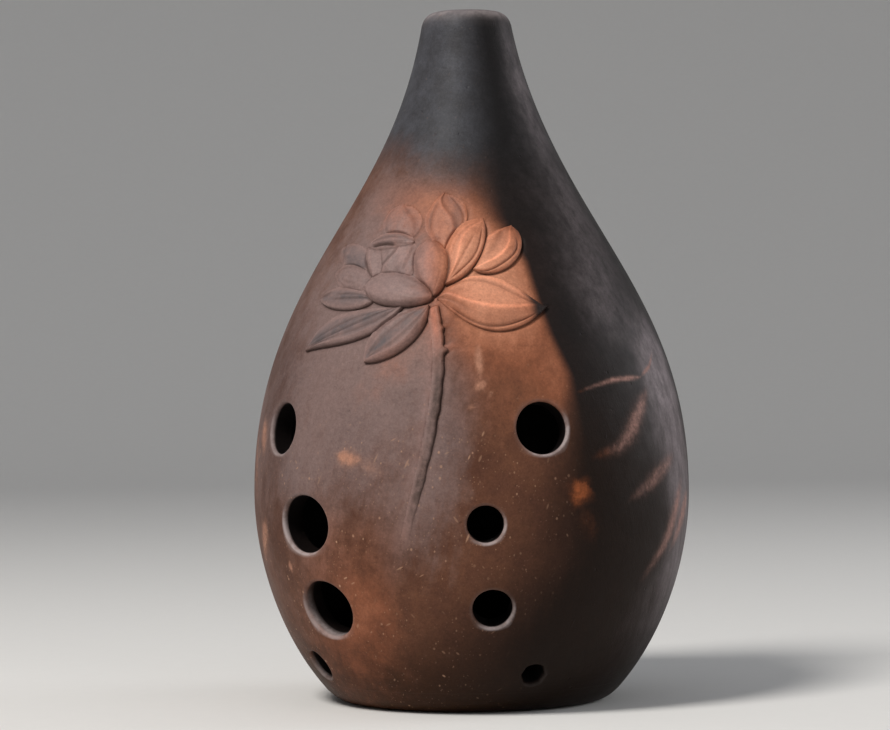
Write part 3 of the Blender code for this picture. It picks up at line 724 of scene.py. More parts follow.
def baseDisc():
    # flat underside, a rounded foot that goes over into the wall's own outline up to its seat, and the boss
    # inside it
    mesh = startMesh()
    radius, height, outward, upward = wallAt(wall["footRound"])
    flat = wall["footRadius"] - wall["footRound"]
    around = columnAngles[None, :]
    under = np.linspace(wall["underLeast"], flat, wall["underRings"] + 1)[:-1, None]
    foot = [(flat, 0), (wall["footRadius"], 0), (radius, height)]
    corner = quadraticCurve(foot, np.linspace(0, 1, wall["footSteps"]))
    lift = (unevenness(around, corner[:, 1:]) - wall["sink"]) * smooth(flat, radius, corner[:, :1])
    seamArc = arcAt(wall["baseSeam"])
    close, wide = wall["seamLines"]
    seat = np.linspace(wall["footRound"], seamArc - wide, wall["seatSteps"])[1:]
    arcs = np.append(seat, [seamArc - close, seamArc])
    sheets = [turned(around, under, 0.0),
              turned(around, corner[:, :1] + lift * outward, corner[:, 1:] + lift * upward),
              onWall(around, arcs[:, None], 0.0)]
    rows = np.vstack([putPoints(mesh, sheet) for sheet in sheets])
    putSheet(mesh, rows)
    putFan(mesh, rows[0], putPole(mesh, 0), flip=True)
    bossRadius = wall["footRadius"] - wall["thick"]
    boss = [halfRing(mesh, bossRadius, wall["baseSeam"]), halfRing(mesh, bossRadius, wall["bossTop"])]
    putBand(mesh, rows[-1], boss[0])
    putSheet(mesh, np.array(boss))
    putFan(mesh, boss[1], putPole(mesh, wall["bossTop"]))
    return mesh


def placeAcross(t, places):
    # where a line runs across the petal: a smooth curve through its places, or one place all along
    if np.isscalar(places):
        return np.full(np.shape(t), float(places))
    along, across = np.array(places, float).T
    return np.polyval(np.polyfit(along, across, min(lotus["lineOrder"], len(places) - 1)), t)


def lineAlong(t, s, line):
    # a line's height where it shows along the petal, and the distance from it in line widths
    height, width, places = line
    first, last = places[0][0], places[-1][0]
    (early, full), (late, fullest) = lotus["lineStart"], lotus["lineEnd"]
    shows = smooth(first + early, first + full, t) * smooth(last + late, last + fullest, t)
    return height * shows, (s - placeAcross(t, places)) / width


def sideFacing(p, t, side):
    # how far the edge on one side faces the shaded side of the flower, at each place along it
    edge = petalPlan(p, t, np.array([float(side)]))[:, 0]
    outward = side * rightOf(np.gradient(edge, axis=0))
    return p.get("cut", 1) * towardsShade(outward)


def petalRelief(p, t, s):
    # a slope between the edges' heights, a crown that folds away from its ridge, then lines as bell curves,
    # steps as S curves, rings as waves about the middle and the knife's slow waves; a lit edge eases up out
    # of the ground, a shaded one turns down in a quarter of an ellipse
    widths = [sideWidth(p[side], p["taper"], t)[:, None] for side in ("left", "right")]
    facings = [sideFacing(p, t, side)[:, None] for side in (-1, 1)]
    t, s = t[:, None], s[None, :]
    left, right = p["edges"]
    ridge = placeAcross(t, p["ridge"])
    away = (s - ridge) / np.where(s > ridge, 1 - ridge, 1 + ridge)
    bulge = 1 - np.clip(abs(away), 0, 1)**np.where(s > ridge, p["fold"][1], p["fold"][0])
    crown = p["crown"] * np.sin(np.pi * t)**lotus["crownBlunt"]
    height = left + (right - left) * (1 + s) / 2 + crown * bulge
    for line in p.get("lines", []):
        amount, offset = lineAlong(t, s, line)
        height = height + amount * bell(offset)
    for step in p.get("steps", []):
        amount, offset = lineAlong(t, s, step)
        height = height + amount * (1 + np.tanh(offset)) / 2
    count, depth = p.get("rings", (0, 0))
    height = height - depth * (1 + np.cos(2 * np.pi * count * np.hypot(s, 2 * t - 1.1))) / 2
    phase = p["tip"][0] + p["tip"][1]
    waves = np.sin(11 * t + 3 * s + phase) + np.sin(7 * t - 6 * s + 2 * phase) * np.sin(5 * s + phase)
    height = height + p.get("tooling", lotus["tooling"]) * waves
    across = np.where(s > 0, s * widths[1], s * widths[0])
    wide = widths[0] + widths[1]
    easy = np.minimum(lotus["easy"], lotus["easyShare"] * wide)
    roll = np.minimum(p.get("roll", lotus["roll"]), lotus["rollShare"] * wide)
    fall = 0
    for facing, inset in zip(facings, (across + widths[0], widths[1] - across)):
        curl = 1 - np.clip(inset / roll, 0, 1)
        fall = fall + facing * (1 - np.sqrt(1 - curl**2)) * (height - lotus["foot"])
        fall = fall + (1 - facing) * (1 - smooth(0, 1, inset / easy)) * (height + lotus["litUnder"])
    return np.maximum(height - fall, lotus["foot"])


def lineShade(p, t, s):
    # a band of painted shade, a little painted shade along every line that is cut in and at the low side of a
    # step, and wear with a painted highlight along the ridge and every line that stands up
    t, s = t[:, None], s[None, :]
    ends = np.sin(np.pi * t)**0.5
    shade, place, wide = p.get("shade", (0, 0, 1))
    dark = shade * bell(s - place, wide) * ends
    fromRidge = s - placeAcross(t, p["ridge"])
    wornAndHighlit = p.get("wornAndHighlit", 0) * bell(fromRidge, p.get("wornAndHighlitWide", lotus["wornAndHighlitWide"])) * ends

    def tone(key, amount):
        # so much for each millimetre of height, up to the most
        rate, most = lotus[key]
        return np.clip(rate * amount, 0, most)
    for line in p.get("lines", []):
        amount, offset = lineAlong(t, s, line)
        dark = np.maximum(dark, tone("lineDark", -amount) * bell(offset))
        wornAndHighlit = np.maximum(wornAndHighlit, tone("lineWornAndHighlit", amount) * bell(offset))
    for step in p.get("steps", []):
        amount, offset = lineAlong(t, s, step)
        beside = offset + np.sign(amount) * lotus["stepBeside"]
        dark = np.maximum(dark, tone("stepDark", abs(amount)) * bell(beside))
    return dark, wornAndHighlit


def sunkUnder(lift, apart, low, high):
    # a lift brought down almost to the foot where a petal in front lies over it
    left = lotus["sunkLeast"] + (1 - lotus["sunkLeast"]) * smooth(low, high, apart)
    return lotus["foot"] + (lift - lotus["foot"]) * left


def lotusPoint(plan, lift):
    # across and up on the wall, raised by lift
    arc = lotusArc + plan[..., 1]
    angle = np.radians(lotus["angle"]) + plan[..., 0] / wallAt(arc)[0]
    return onWall(angle, arc, lift)


def closeLens(mesh, top, middle, poles):
    # top and underside share both edge columns and run together into a point at each end
    under = np.hstack([top[:, :1], middle, top[:, -1:]])
    putSheet(mesh, top, closed=False)
    putSheet(mesh, under, closed=False, flip=True)
    for rows, flip in ((top, False), (under, True)):
        putFan(mesh, rows[0], poles[0], closed=False, flip=not flip)
        putFan(mesh, rows[-1], poles[1], closed=False, flip=flip)


def petalPiece(name):
    # the relief laid on the wall, sunk where a petal in front lies over it, with its hidden underside
    p = petals[name]
    t, s = endsDense(lotus["rows"])[1:-1], edgesDense(lotus["columns"])
    plan = petalPlan(p, t, s)
    lift = petalRelief(p, t, s)
    own, facing = edgeDistance(plan, petalRings[name], lotus["reach"])
    dark, wornAndHighlit = lineShade(p, t, s)
    # painted shade along its own shaded edges
    strength, wide = lotus["edgeDark"]
    dark = np.maximum(dark, strength * p.get("cut", 1) * facing * bell(own, wide))
    place, wide = p.get("ashAt", lotus["ashAt"])
    across = lotus["ashLeast"] + (1 - lotus["ashLeast"]) * bell(s[None, :] - place, wide)
    ash = p.get("ash", 0) * smooth(*lotus["ashEdge"], own) * across
    # painted shade beside every petal in front of it
    least, more = lotus["frontDark"]
    for front in petalOrder[petalOrder.index(name) + 1:]:
        apart, facing = edgeDistance(plan, petalRings[front], lotus["frontReach"])
        facing = facing * petals[front].get("cut", 1)
        outside = np.maximum(apart, 0)
        lift = lift - facing * lotus["frontGroove"] * lotus["groove"] * bell(outside, lotus["grooveWidth"])
        lift = sunkUnder(lift, apart, *lotus["frontSink"])
        dark = np.maximum(dark, (least + more * facing) * creaseShadeBell(outside, facing))
    mesh = startMesh()
    top = putPoints(mesh, lotusPoint(plan, lift), dark, wornAndHighlit * (1 - dark), ash)
    poles = putPoints(mesh, lotusPoint(np.array([p["root"], p["tip"]], float), lotus["foot"]), 1.0)
    middle = putPoints(mesh, lotusPoint(petalPlan(p, t, np.array([-0.5, 0.0, 0.5])), lotus["foot"]))
    closeLens(mesh, top, middle, poles)
    return mesh


def stemPiece():
    # a rounded bar that eases up out of the wall on its lit side, turns down on its shaded one, and tapers
    # and sinks away at its foot
    t, s = np.linspace(0, 1, stem["rows"])[1:-1], edgesDense(stem["columns"])
    plan = stemPlan(t, s)
    middlePlan = stemPlan(t, np.array([0.0]))
    t, s = t[:, None], s[None, :]
    rise = stem["topRise"] + (stem["footRise"] - stem["topRise"]) * t**stem["riseBend"]
    height = rise * (1 - stem["lean"] * s - stem["hump"] * s**2)
    lit = smooth(*stem["lit"], s)
    upright = np.sqrt(1 - np.clip((-stem["turnDown"] - s) / (1 - stem["turnDown"]), 0, 1)**2)
    lift = (height * lit - stem["litUnder"] * (1 - lit)) * upright + lotus["foot"] * (1 - upright)
    lift = lotus["foot"] + (lift - lotus["foot"]) * (1 - abs(2 * t - 1)**stem["endPower"])
    # painted shade along its shaded edge, and beside every petal
    dark = smooth(*stem["darkAcross"], s) * smooth(*stem["darkAlong"], t)
    least, more, beside = stem["petalDark"]
    for ring in petalRings.values():
        apart, facing = edgeDistance(plan, ring, stem["reach"])
        lift = sunkUnder(lift, apart, *stem["petalSink"])
        dark = np.maximum(dark, (least + more * facing) * bell(np.maximum(apart, 0), beside))
    # wear with a painted highlight along its top
    place, wide = stem["wornAndHighlitAt"]
    wornAndHighlit = bell(s - place, wide) * smooth(*stem["wornAndHighlitAlong"], t)
    ash = smooth(*stem["ashAlong"], t) * smooth(*stem["ashFoot"], t) * smooth(*stem["ashAcross"], s)
    mesh = startMesh()
    top = putPoints(mesh, lotusPoint(plan, lift), dark, wornAndHighlit, ash)
    ends = stemPlan(np.array([0.0, 1.0]), np.array([0.0]))[:, 0]
    poles = putPoints(mesh, lotusPoint(ends, lotus["foot"]))
    middle = putPoints(mesh, lotusPoint(middlePlan, lotus["foot"]))
    closeLens(mesh, top, middle, poles)
    return mesh


# where fire and smoke have coloured the clay, and where shade and sheen are painted on it, as places on
# the wall: degrees round from the front and height
firing = dict(
    # line along which the smoke and the painted shade of the dark side begin, right of the flower, with how
    # soft it is there in millimetres
    smokeAndShadeHeights=(0, 14, 30, 46, 55.8, 66, 74, 82, 88, 93, 97, 102, 107, 116, 130, 140),
    smokeAndShadeAngles=(12, 15, 36, 41.5, 46.5, 48, 44, 41.9, 40.4, 36, 30.5, 26.5, 24, 28, 27, 26),
    smokeAndShadeSoft=(18, 18, 14, 9, 4, 1.3, 1.3, 1.2, 1.4, 2.0, 3.2, 5, 6, 5, 4.5, 4.5),
    smokeAndShadeFar=(208, 16),      # where it ends round the back, and how soft it is there
    farWave=(9, 13), farLean=(0.12, 50),     # its waves (degrees, millimetres), its lean and from where
    # lower line of the grey bloom on the neck
    neckAngles=(-180, -60, -31.7, -3.9, 16.4, 32.4, 80, 180),
    neckHeights=(112, 111, 110, 107, 105, 106.5, 108, 112),
    neckSoft=7.0,
    # fire flush: centre, half width across and up in millimetres, strength
    flush=[(27, 87, 9.5, 9, 1.1), (34, 75, 9, 7, .42), (45, 66, 5, 7, .36), (22, 74, 8, 7, .34),
           (30, 61, 12, 9, .16), (14, 91, 7, 8, .16), (8, 100, 9, 5, .34), (-14, 100, 9, 7, .2),
           (-2, 70, 7, 7, .2), (8, 78, 4, 4, .14), (-18, 24, 11, 16, .22), (-9, 20, 6, 8, .30),
           (-24, 10, 10, 6, .2), (-28, 2, 13, 5, .12), (-50, 44, 6, 18, .10), (-3, 36, 9, 8, .10),
           (-100, 40, 20, 16, .14), (-165, 30, 24, 18, .16)],
    # grey-violet haze of the burnished side, partly a painted sheen
    haze_and_sheen=[(-19, 73, 15, 18, 1.0), (-17, 54, 15, 11, .6), (-6, 90, 13, 12, .8), (7, 65, 10, 12, .6),
          (-50, 52, 9, 20, .3), (-22, 100, 9, 9, .35), (-29, 47, 6, 7, .6), (-5, 46, 12, 8, .3),
          (-20, 30, 14, 12, .2), (13, 49, 6, 11, .5), (6, 36, 7, 9, .4), (-95, 62, 34, 30, .6),
          (-140, 70, 32, 24, .6)],
    # painted sheen over the smoke and shade
    painted_sheen=[(84, 128, 4.5, 14, .55), (80, 112, 7, 12, .24), (76, 98, 10, 12, .20), (72, 84, 10, 14, .24),
           (87, 66, 5.5, 7, 2.6), (90, 60, 7, 14, .9), (80, 57, 8, 8, .3), (92, 46, 7, 9, .9),
           (96, 30, 8, 12, .8), (84, 20, 10, 10, .25), (66, 80, 6, 8, .26), (150, 60, 26, 30, .4)],
    # where soot has dulled the clay, and where shade is painted
    smudge_and_shade=[(-48, 63, 9, 12, 1.6), (-43, 45, 7, 10, .9), (-48, 26, 8, 10, .35), (-58, 84, 8, 14, .5),
            (-12, 56, 5, 5, .25), (18, 56, 6, 6, .4), (10, 117, 5, 6, .35), (4, 107, 5, 5, .25)],
    # orange marks where flame has licked: points along a stroke, half width, strength
    strokes=[([(75, 65.3), (67.9, 65.1), (62.3, 64.8), (57.1, 64), (50, 62.6)], .42, .75),
             ([(76, 62.5), (70, 57.9), (65.7, 54.1), (61.7, 51.9), (53, 50)], 1.5, .6),
             ([(86, 49.8), (77.3, 46.5), (71.1, 44), (64, 41.4)], 1.5, .5),
             ([(91, 44.5), (85.6, 37.3), (82, 32.7), (73, 25.8)], 1.7, .6),
             ([(98, 42), (92.5, 37), (86, 31)], 1.8, .7),
             ([(75.5, 65.6), (81.6, 67.5), (86.5, 70.3)], .4, .7),
             ([(50.2, 45.2), (48.6, 43.4), (47.2, 40.6)], 2.0, .75),
             ([(49, 40.3), (51.8, 36.6), (53, 32)], 2.2, .2),
             ([(22.8, 71.8), (23.0, 68), (23.4, 65)], .7, .75), ([(22.6, 64.6), (23.9, 63.2)], 1.1, .85),
             ([(25.6, 62.6), (26.4, 62.2)], .6, .6), ([(20.6, 60.2), (20.9, 59.4)], .9, .5),
             ([(-15.4, 50.9), (-11.1, 50.2), (-7.4, 49.9)], 1.2, .85),
             ([(-8.2, 49.9), (-4.5, 48.3), (-1.2, 46.8)], 1.5, .3),
             ([(-53.2, 57.4), (-51, 53.5), (-49.4, 50)], 1.8, .6),
             ([(-47.6, 37.6), (-51.5, 33), (-56, 28.4)], 1.9, .62),
             ([(-36.3, 29.7), (-35.3, 27.4)], .5, .85), ([(-60.5, 55.3), (-57, 46), (-55, 40)], 1.6, .35),
             ([(-112, 62), (-118, 48)], 2.2, .35), ([(-128, 38), (-121, 28)], 2.0, .3),
             ([(128, 44), (136, 34)], 2.4, .35)],
    strokeReach=12,      # how far above and below its height a stroke is felt
    leastRadius=12,      # no place counts as nearer the axis than this
    gather=1.4,          # how fast spots that lie over one another fill up
    most=4,              # smoke with its painted shade, and neck keep within this, either way
    # where the black of the chamber, soot with painted shade, begins and is full: depth in the wall,
    # height at the mouth and the foot
    insideDepth=(0.9, 2.0), insideTop=(139.5, 138.5), insideFoot=(2, 6),
)


def roundWall(angle, turn, radius):
    # millimetres round the wall from a place, the short way
    return (np.mod(angle - turn + 180, 360) - 180) * np.pi / 180 * np.maximum(radius, firing["leastRadius"])


def blobs(angle, height, radius, spots):
    # sum of bell-shaped spots, each a Gaussian of its distances round and up the wall, held under 1
    total = np.zeros(len(angle))
    for turn, level, wide, tall, strength in spots:
        across = roundWall(angle, turn, radius)
        total += strength * np.exp(-(across / wide)**2 - ((height - level) / tall)**2)
    return 1 - np.exp(-firing["gather"] * total)


# a stroke's shape along and across
brush = dict(
    early=0.65, blunt=0.7,              # powers that bring its strongest place forward and keep it full
    leastWide=0.45, leastStrong=0.2,    # shares of its width and strength that are left at its ends
    halo=0.28, haloWide=2.3,            # share and width of the fainter Gaussian
)


def strokes(angle, height, radius):
    # brush strokes: a Gaussian of the distance to a line of points with a wider, fainter one about it,
    # strongest a third of the way along and thinner and weaker to its ends
    total = np.zeros(len(angle))
    for points, width, strength in firing["strokes"]:
        turn, level = np.array(points, float).T
        middle = turn.mean()
        here = np.stack([roundWall(angle, middle, radius), height], axis=1)
        line = np.stack([(turn - middle) * np.pi / 180 * radiusAt(level), level], axis=1)
        near = np.abs(height - level.mean()) < np.ptp(level) + firing["strokeReach"]
        nearest, share, offset = nearestPart(here[near], line[:-1], line[1:])
        along = (nearest + share) / (len(points) - 1)
        full = np.sin(np.pi * np.clip(along, 0.01, 0.99)**brush["early"])**brush["blunt"]
        wide, strong = (least + (1 - least) * full for least in (brush["leastWide"], brush["leastStrong"]))
        apart = np.linalg.norm(offset, axis=1) / (width * wide)
        glow = (1 - brush["halo"]) * bell(apart) + brush["halo"] * bell(apart, brush["haloWide"])
        total[near] = np.maximum(total[near], strength * strong * glow)
    return total


# how a hole's rim is worn and given a painted highlight, and its bore blackened with soot and painted shade
rims = dict(
    wornAndHighlitReach=(0.7, 0.3),              # distances out from the bore where the wear and painted highlight begin and are full
    deep=1, bareDeep=4, deepSoft=0.35,                 # how deep it goes, how much more without soot and painted shade
    side=(0.6, -0.8),                  # the side that is worn most and given the painted highlight: away from the front, and up
    sideTurn=(-0.1, 0.75), least=0.12,                 # how the wear and highlight come in to that side, and their least
    sootAndShadeReach=(0.4, 0.15), sootAndShadeTop=(-0.6, -1.0), sootAndShadeEnd=(-9, -7),     # distance from the bore, and depths
    mouth=(1.2, 0.6), mouthWide=1.6, mouthWorn=0.6,    # ring of wear, in and down from the mouth's edge
)


def rimNear(xyz):
    # two masks: the worn rim of a hole with a painted highlight, most at its lower and outer side and a
    # millimetre deep, deeper where there is less soot and painted shade, with the rim of the mouth, and the
    # soot and painted shade in a bore
    wornAndHighlit, sootAndShade = np.zeros(len(xyz)), np.zeros(len(xyz))
    for hole in fingerHoles.values():
        turn, _, diameter, spread, sootyAndShaded, pale = hole
        centre, normal, across, radius = holeFrame(hole)
        away = xyz - centre
        depth, aside = away @ normal, away @ across
        flat = away - np.outer(depth, normal)
        flat += np.outer(flat @ across, across) * (1 / spread - 1)
        ring = np.linalg.norm(flat, axis=1) - diameter / 2
        below = wall["sink"] + depth + aside**2 / (2 * radius)
        out, up = rims["side"]
        low = (np.sign(turn) * out * aside + up * away[:, 2]) / (diameter / 2)
        sided = rims["least"] + (1 - rims["least"]) * smooth(*rims["sideTurn"], low)
        deep = rims["deep"] + rims["bareDeep"] * (1 - sootyAndShaded)
        rim = smooth(*rims["wornAndHighlitReach"], ring) * smooth(-deep, rims["deepSoft"] - deep, below)
        wornAndHighlit = np.maximum(wornAndHighlit, pale * rim * sided)
        bore = smooth(*rims["sootAndShadeReach"], ring) * smooth(*rims["sootAndShadeTop"], below)
        sootAndShade = np.maximum(sootAndShade, sootyAndShaded * bore * smooth(*rims["sootAndShadeEnd"], depth))
    fromAxis = np.hypot(xyz[:, 0], xyz[:, 1])
    inward, down = rims["mouth"]
    mouth = np.hypot(fromAxis - wall["mouthRadius"] + inward, xyz[:, 2] - wall["height"] + down)
    return np.maximum(wornAndHighlit, rims["mouthWorn"] * bell(mouth, rims["mouthWide"])), sootAndShade


def paintMasks(data, clear):
    # every mask is a smooth function of a point's angle, height and distance from the axis; clear keeps the
    # smoke and the painted shade off
    xyz = np.empty(len(data.vertices) * 3, np.float32)
    data.vertices.foreach_get("co", xyz)
    xyz = xyz.reshape(-1, 3).astype(float) / mm
    radius, height = np.hypot(xyz[:, 0], xyz[:, 1]), xyz[:, 2]
    angle = np.degrees(np.arctan2(xyz[:, 0], -xyz[:, 1]))
    turn = np.where(angle < -90, angle + 360, angle)
    # where the smoke, with painted shade on the dark side, begins round the wall
    edge = np.interp(height, firing["smokeAndShadeHeights"], firing["smokeAndShadeAngles"])
    soft = np.interp(height, firing["smokeAndShadeHeights"], firing["smokeAndShadeSoft"])
    far, farSoft = firing["smokeAndShadeFar"]
    (swing, length), (lean, level) = firing["farWave"], firing["farLean"]
    far = far + swing * np.sin(height / length) - lean * (height - level)
    reach = np.maximum(radius, firing["leastRadius"])
    smoke_and_shade = np.minimum(np.radians(turn - edge) * reach / soft, np.radians(far - turn) * reach / farSoft)
    neck = (height - np.interp(angle, firing["neckAngles"], firing["neckHeights"])) / firing["neckSoft"]
    inside = smooth(*firing["insideDepth"], radiusAt(height) - radius)
    inside = inside * smooth(*firing["insideTop"], height) * smooth(*firing["insideFoot"], height)
    wornAndHighlit, sootAndShade = rimNear(xyz)
    most = firing["most"]
    masks = dict(smoke_and_shade=np.clip(smoke_and_shade - clear, -most, most), neck=np.clip(neck, -most, most), wearAndHighlight=wornAndHighlit,
                 inside=np.maximum(inside, sootAndShade), marks=strokes(angle, height, radius))
    for name in ("flush", "haze_and_sheen", "painted_sheen", "smudge_and_shade"):
        masks[name] = blobs(angle, height, radius, firing[name])
    for name, values in masks.items():
        putValues(data, name, values)


# shader helpers: a value may be a number, a colour or another node's socket

def addNode(tree, kind, inputs=None, **settings):
    # a new node with its settings, each input linked to a socket or given a value
    made = tree.nodes.new(kind)
    for key, value in settings.items():
        setattr(made, key, value)
    for key, value in (inputs or {}).items():
        if isinstance(value, bpy.types.NodeSocket):
            tree.links.new(value, made.inputs[key])
        else:
            made.inputs[key].default_value = value
    return made


def calc(tree, operation, a, b=0.0, clamp=False):
    # two values put together by the operation
    return addNode(tree, "ShaderNodeMath", {0: a, 1: b}, operation=operation, use_clamp=clamp).outputs[0]


def plus(tree, a, b, clamp=False):
    # the sum of two values
    return calc(tree, "ADD", a, b, clamp)


def times(tree, a, b, clamp=False):
    # the product of two values
    return calc(tree, "MULTIPLY", a, b, clamp)


def mixColour(tree, factor, a, b, blend="MIX"):
    # the first colour with the second laid over it by the factor
    a, b = (k if isinstance(k, bpy.types.NodeSocket) else (*k, 1) for k in (a, b))
    made = addNode(tree, "ShaderNodeMix", {0: factor, 6: a, 7: b}, data_type="RGBA", blend_type=blend)
    return made.outputs[2]


def tinted(tree, colour, tint):
    # one colour times another
    return mixColour(tree, 1.0, colour, tint, "MULTIPLY")


def between(tree, value, low, high, lowOut=0.0, highOut=1.0):
    # an easy S from one output to the other as the value goes from low to high
    ends = {0: value, 1: low, 2: high, 3: lowOut, 4: highOut}
    return addNode(tree, "ShaderNodeMapRange", ends, interpolation_type="SMOOTHSTEP").outputs[0]


def inCells(tree, place, turn, size):
    # a place counted in cells of this size in metres, turned
    settings = {"Vector": place, "Rotation": turn, "Scale": size}
    return addNode(tree, "ShaderNodeMapping", settings, vector_type="TEXTURE").outputs[0]


def noise(tree, place, size, detail=3.0, rough=0.55, turn=(0, 0, 0), stretch=(1, 1, 1)):
    # cloudy values about 0.5, with features of about this size in metres
    spread = inCells(tree, place, turn, [size * k for k in stretch])
    settings = {"Vector": spread, "Scale": 1.0, "Detail": detail, "Roughness": rough}
    return addNode(tree, "ShaderNodeTexNoise", settings).outputs[0]


def scatter(tree, place, scale):
    # cells strewn at random: the distance from a cell's middle, and its three random values
    settings = {"Vector": place, "Scale": scale, "Randomness": 1.0}
    cells = addNode(tree, "ShaderNodeTexVoronoi", settings, feature="F1")
    chosen = addNode(tree, "ShaderNodeSeparateColor", {0: cells.outputs["Color"]})
    return cells.outputs["Distance"], chosen.outputs


def newGroup(name, inputs, outputs):
    # a shader node group with these sockets, its tree, and its inner input and output nodes
    tree = bpy.data.node_groups.new(name, "ShaderNodeTree")
    for way, sockets in (("INPUT", inputs), ("OUTPUT", outputs)):
        for label, kind in sockets.items():
            tree.interface.new_socket(label, in_out=way, socket_type="NodeSocket" + kind)
    return tree, addNode(tree, "NodeGroupInput").outputs, addNode(tree, "NodeGroupOutput").inputs


# grit layers: turn, size of a cell in millimetres, reach in cells, share of the cells left empty, brightness
grit = [
    ((0.05, 0.45, 0.0), (2.0, 2.0, 14.0), 0.14, 0.60, 1.0),
    ((-0.05, -0.65, 0.1), (1.9, 1.9, 11.0), 0.14, 0.62, 1.0),
    ((0.1, 1.1, 0.1), (1.7, 1.7, 8.0), 0.13, 0.66, 0.9),
    ((0, 0, 0), (2.0, 2.0, 2.4), 0.16, 0.60, 1.0),
    ((0.4, 0.2, 0.1), (1.2, 1.2, 1.8), 0.18, 0.52, 0.7),
    ((0.2, 0.6, 0.3), (0.7, 0.7, 0.8), 0.23, 0.40, 0.4),
]
# ramps are given as between takes them: from where to where, then what comes out at both ends if not 0 and 1
strewing = dict(
    crowdSize=9, crowd=(0.40, 0.60, 0.2, 1.0),          # clouds that crowd the grit together
    emptySoft=0.03, strengths=(0.0, 0.9, 0.3, 1.0),     # how cells fall out, and how strong the others are
    core=0.5,                                           # share of a grain's reach where it is full
    pitScale=420.0, pitReach=(0.16, 0.05), pitShare=(0.78, 0.82),
)


def speckGroup():
    # grit in the clay: short dashes lying three ways and round grains, each a thinned-out field of cells
    tree, given, gives = newGroup("gritSpecks", {"Place": "Vector"}, {"Specks": "Float", "Pits": "Float"})
    place = given["Place"]
    crowd = between(tree, noise(tree, place, strewing["crowdSize"] * mm, 3.0, 0.6), *strewing["crowd"])
    total = 0.0
    for turn, cell, reach, empty, bright in grit:
        distance, chosen = scatter(tree, inCells(tree, place, turn, [k * mm for k in cell]), 1.0)
        strength = times(tree, between(tree, chosen[0], empty, empty + strewing["emptySoft"]),
                         between(tree, chosen[1], *strewing["strengths"]))
        strength = times(tree, strength, times(tree, crowd, bright))
        dot = times(tree, between(tree, distance, reach, reach * strewing["core"]), strength)
        total = calc(tree, "MAXIMUM", total, dot)
    tree.links.new(total, gives["Specks"])
    distance, chosen = scatter(tree, place, strewing["pitScale"])
    pits = times(tree, between(tree, distance, *strewing["pitReach"]),
                 between(tree, chosen[2], *strewing["pitShare"]))
    tree.links.new(pits, gives["Pits"])
    return tree


def grainGroup():
    # surface of burnished clay: drawn-out stone marks, fine sand grain and slow swells, as one height
    outputs = {"Height": "Float", "Polish": "Float", "Patches": "Float"}
    tree, given, gives = newGroup("burnishGrain", {"Place": "Vector"}, outputs)
    place = given["Place"]
    layers = [
        (noise(tree, place, 1.1 * mm, 3.0, 0.6, (0.15, 0.1, 0), (6, 6, 0.7)), 0.35),
        (noise(tree, place, 1.0 * mm, 3.0, 0.6, (0.3, -0.2, 0), (0.8, 0.8, 7)), 0.3),
        (noise(tree, place, 0.28 * mm, 2.0, 0.6), 0.28),
        (noise(tree, place, 4.0 * mm, 2.0, 0.5), 0.8),
    ]
    height = 0.0
    for layer, share in layers:
        height = plus(tree, height, times(tree, layer, share))
    tree.links.new(height, gives["Height"])
    tree.links.new(noise(tree, place, 7 * mm, 4.0, 0.6), gives["Polish"])
    tree.links.new(noise(tree, place, 2.4 * mm, 4.0, 0.65), gives["Patches"])
    return tree


# the smoke colours, the smudge tint, the foot and the inside stand partly for painted shade; the haze partly
# and the pale sheen wholly for a painted sheen
kiln = dict(
    body=(.100, .041, .025), warm=(.156, .064, .035), haze_and_sheen=(.200, .138, .128), foot=(.046, .017, .006),
    flush=(.53, .238, .143), flushDeep=(.32, .106, .051),
    neck=(.066, .067, .077), neckDark=(.040, .039, .043), smudge_and_shade=(.38, .42, .48),
    smoke_and_shade=(.009, .008, .008), smokeAndShadeLow=(.008, .0035, .0015), painted_sheen=(.40, .335, .350),
    mark=(.44, .215, .140), markDeep=(.31, .086, .028), markPink=(.36, .190, .155), inside=(.004, .003, .003),
)
kilnMasks = ("Smoke_and_shade", "Neck", "Flush", "Haze_and_sheen", "Smudge_and_shade", "Painted_sheen", "Marks", "Inside")
# how far the mottling pushes a layer's mask about, then where the layer begins and is full
kilnLevels = dict(
    foot=(0.01, 0.020, 0.002), haze_and_sheen=(1.3, 0.08, 0.85), ember=(0.5, 0.35, 0.9), flush=(0.7, 0.06, 0.72),
    neck=(1.6, -1.0, 1.0), smoke_and_shade=(0.9, -1.0, 1.0), painted_sheen=(0.4, 0.02, 1.55),
)
kilnRamps = dict(
    warm=(0.36, 0.66), neck=(0.25, 0.80), smoke_and_shade=(0.046, 0.076), painted_sheen=(0.15, 0.75, 0.35, 1.0),
    markFine=(0.3, 0.7, 0.8, 1.2), mark=(0.04, 0.85), markBrushed=(0.25, 0.65, 0.6, 1.0),
    markDeep=(-0.3, 0.2), markPink=(1.2, 2.2), dust=(0.3, 0.7),
)
kilnCovers = dict(haze_and_sheen=0.9, smudge_and_shade=0.5, smoke_and_shade=0.97, inside=0.985)      # how far a full layer covers


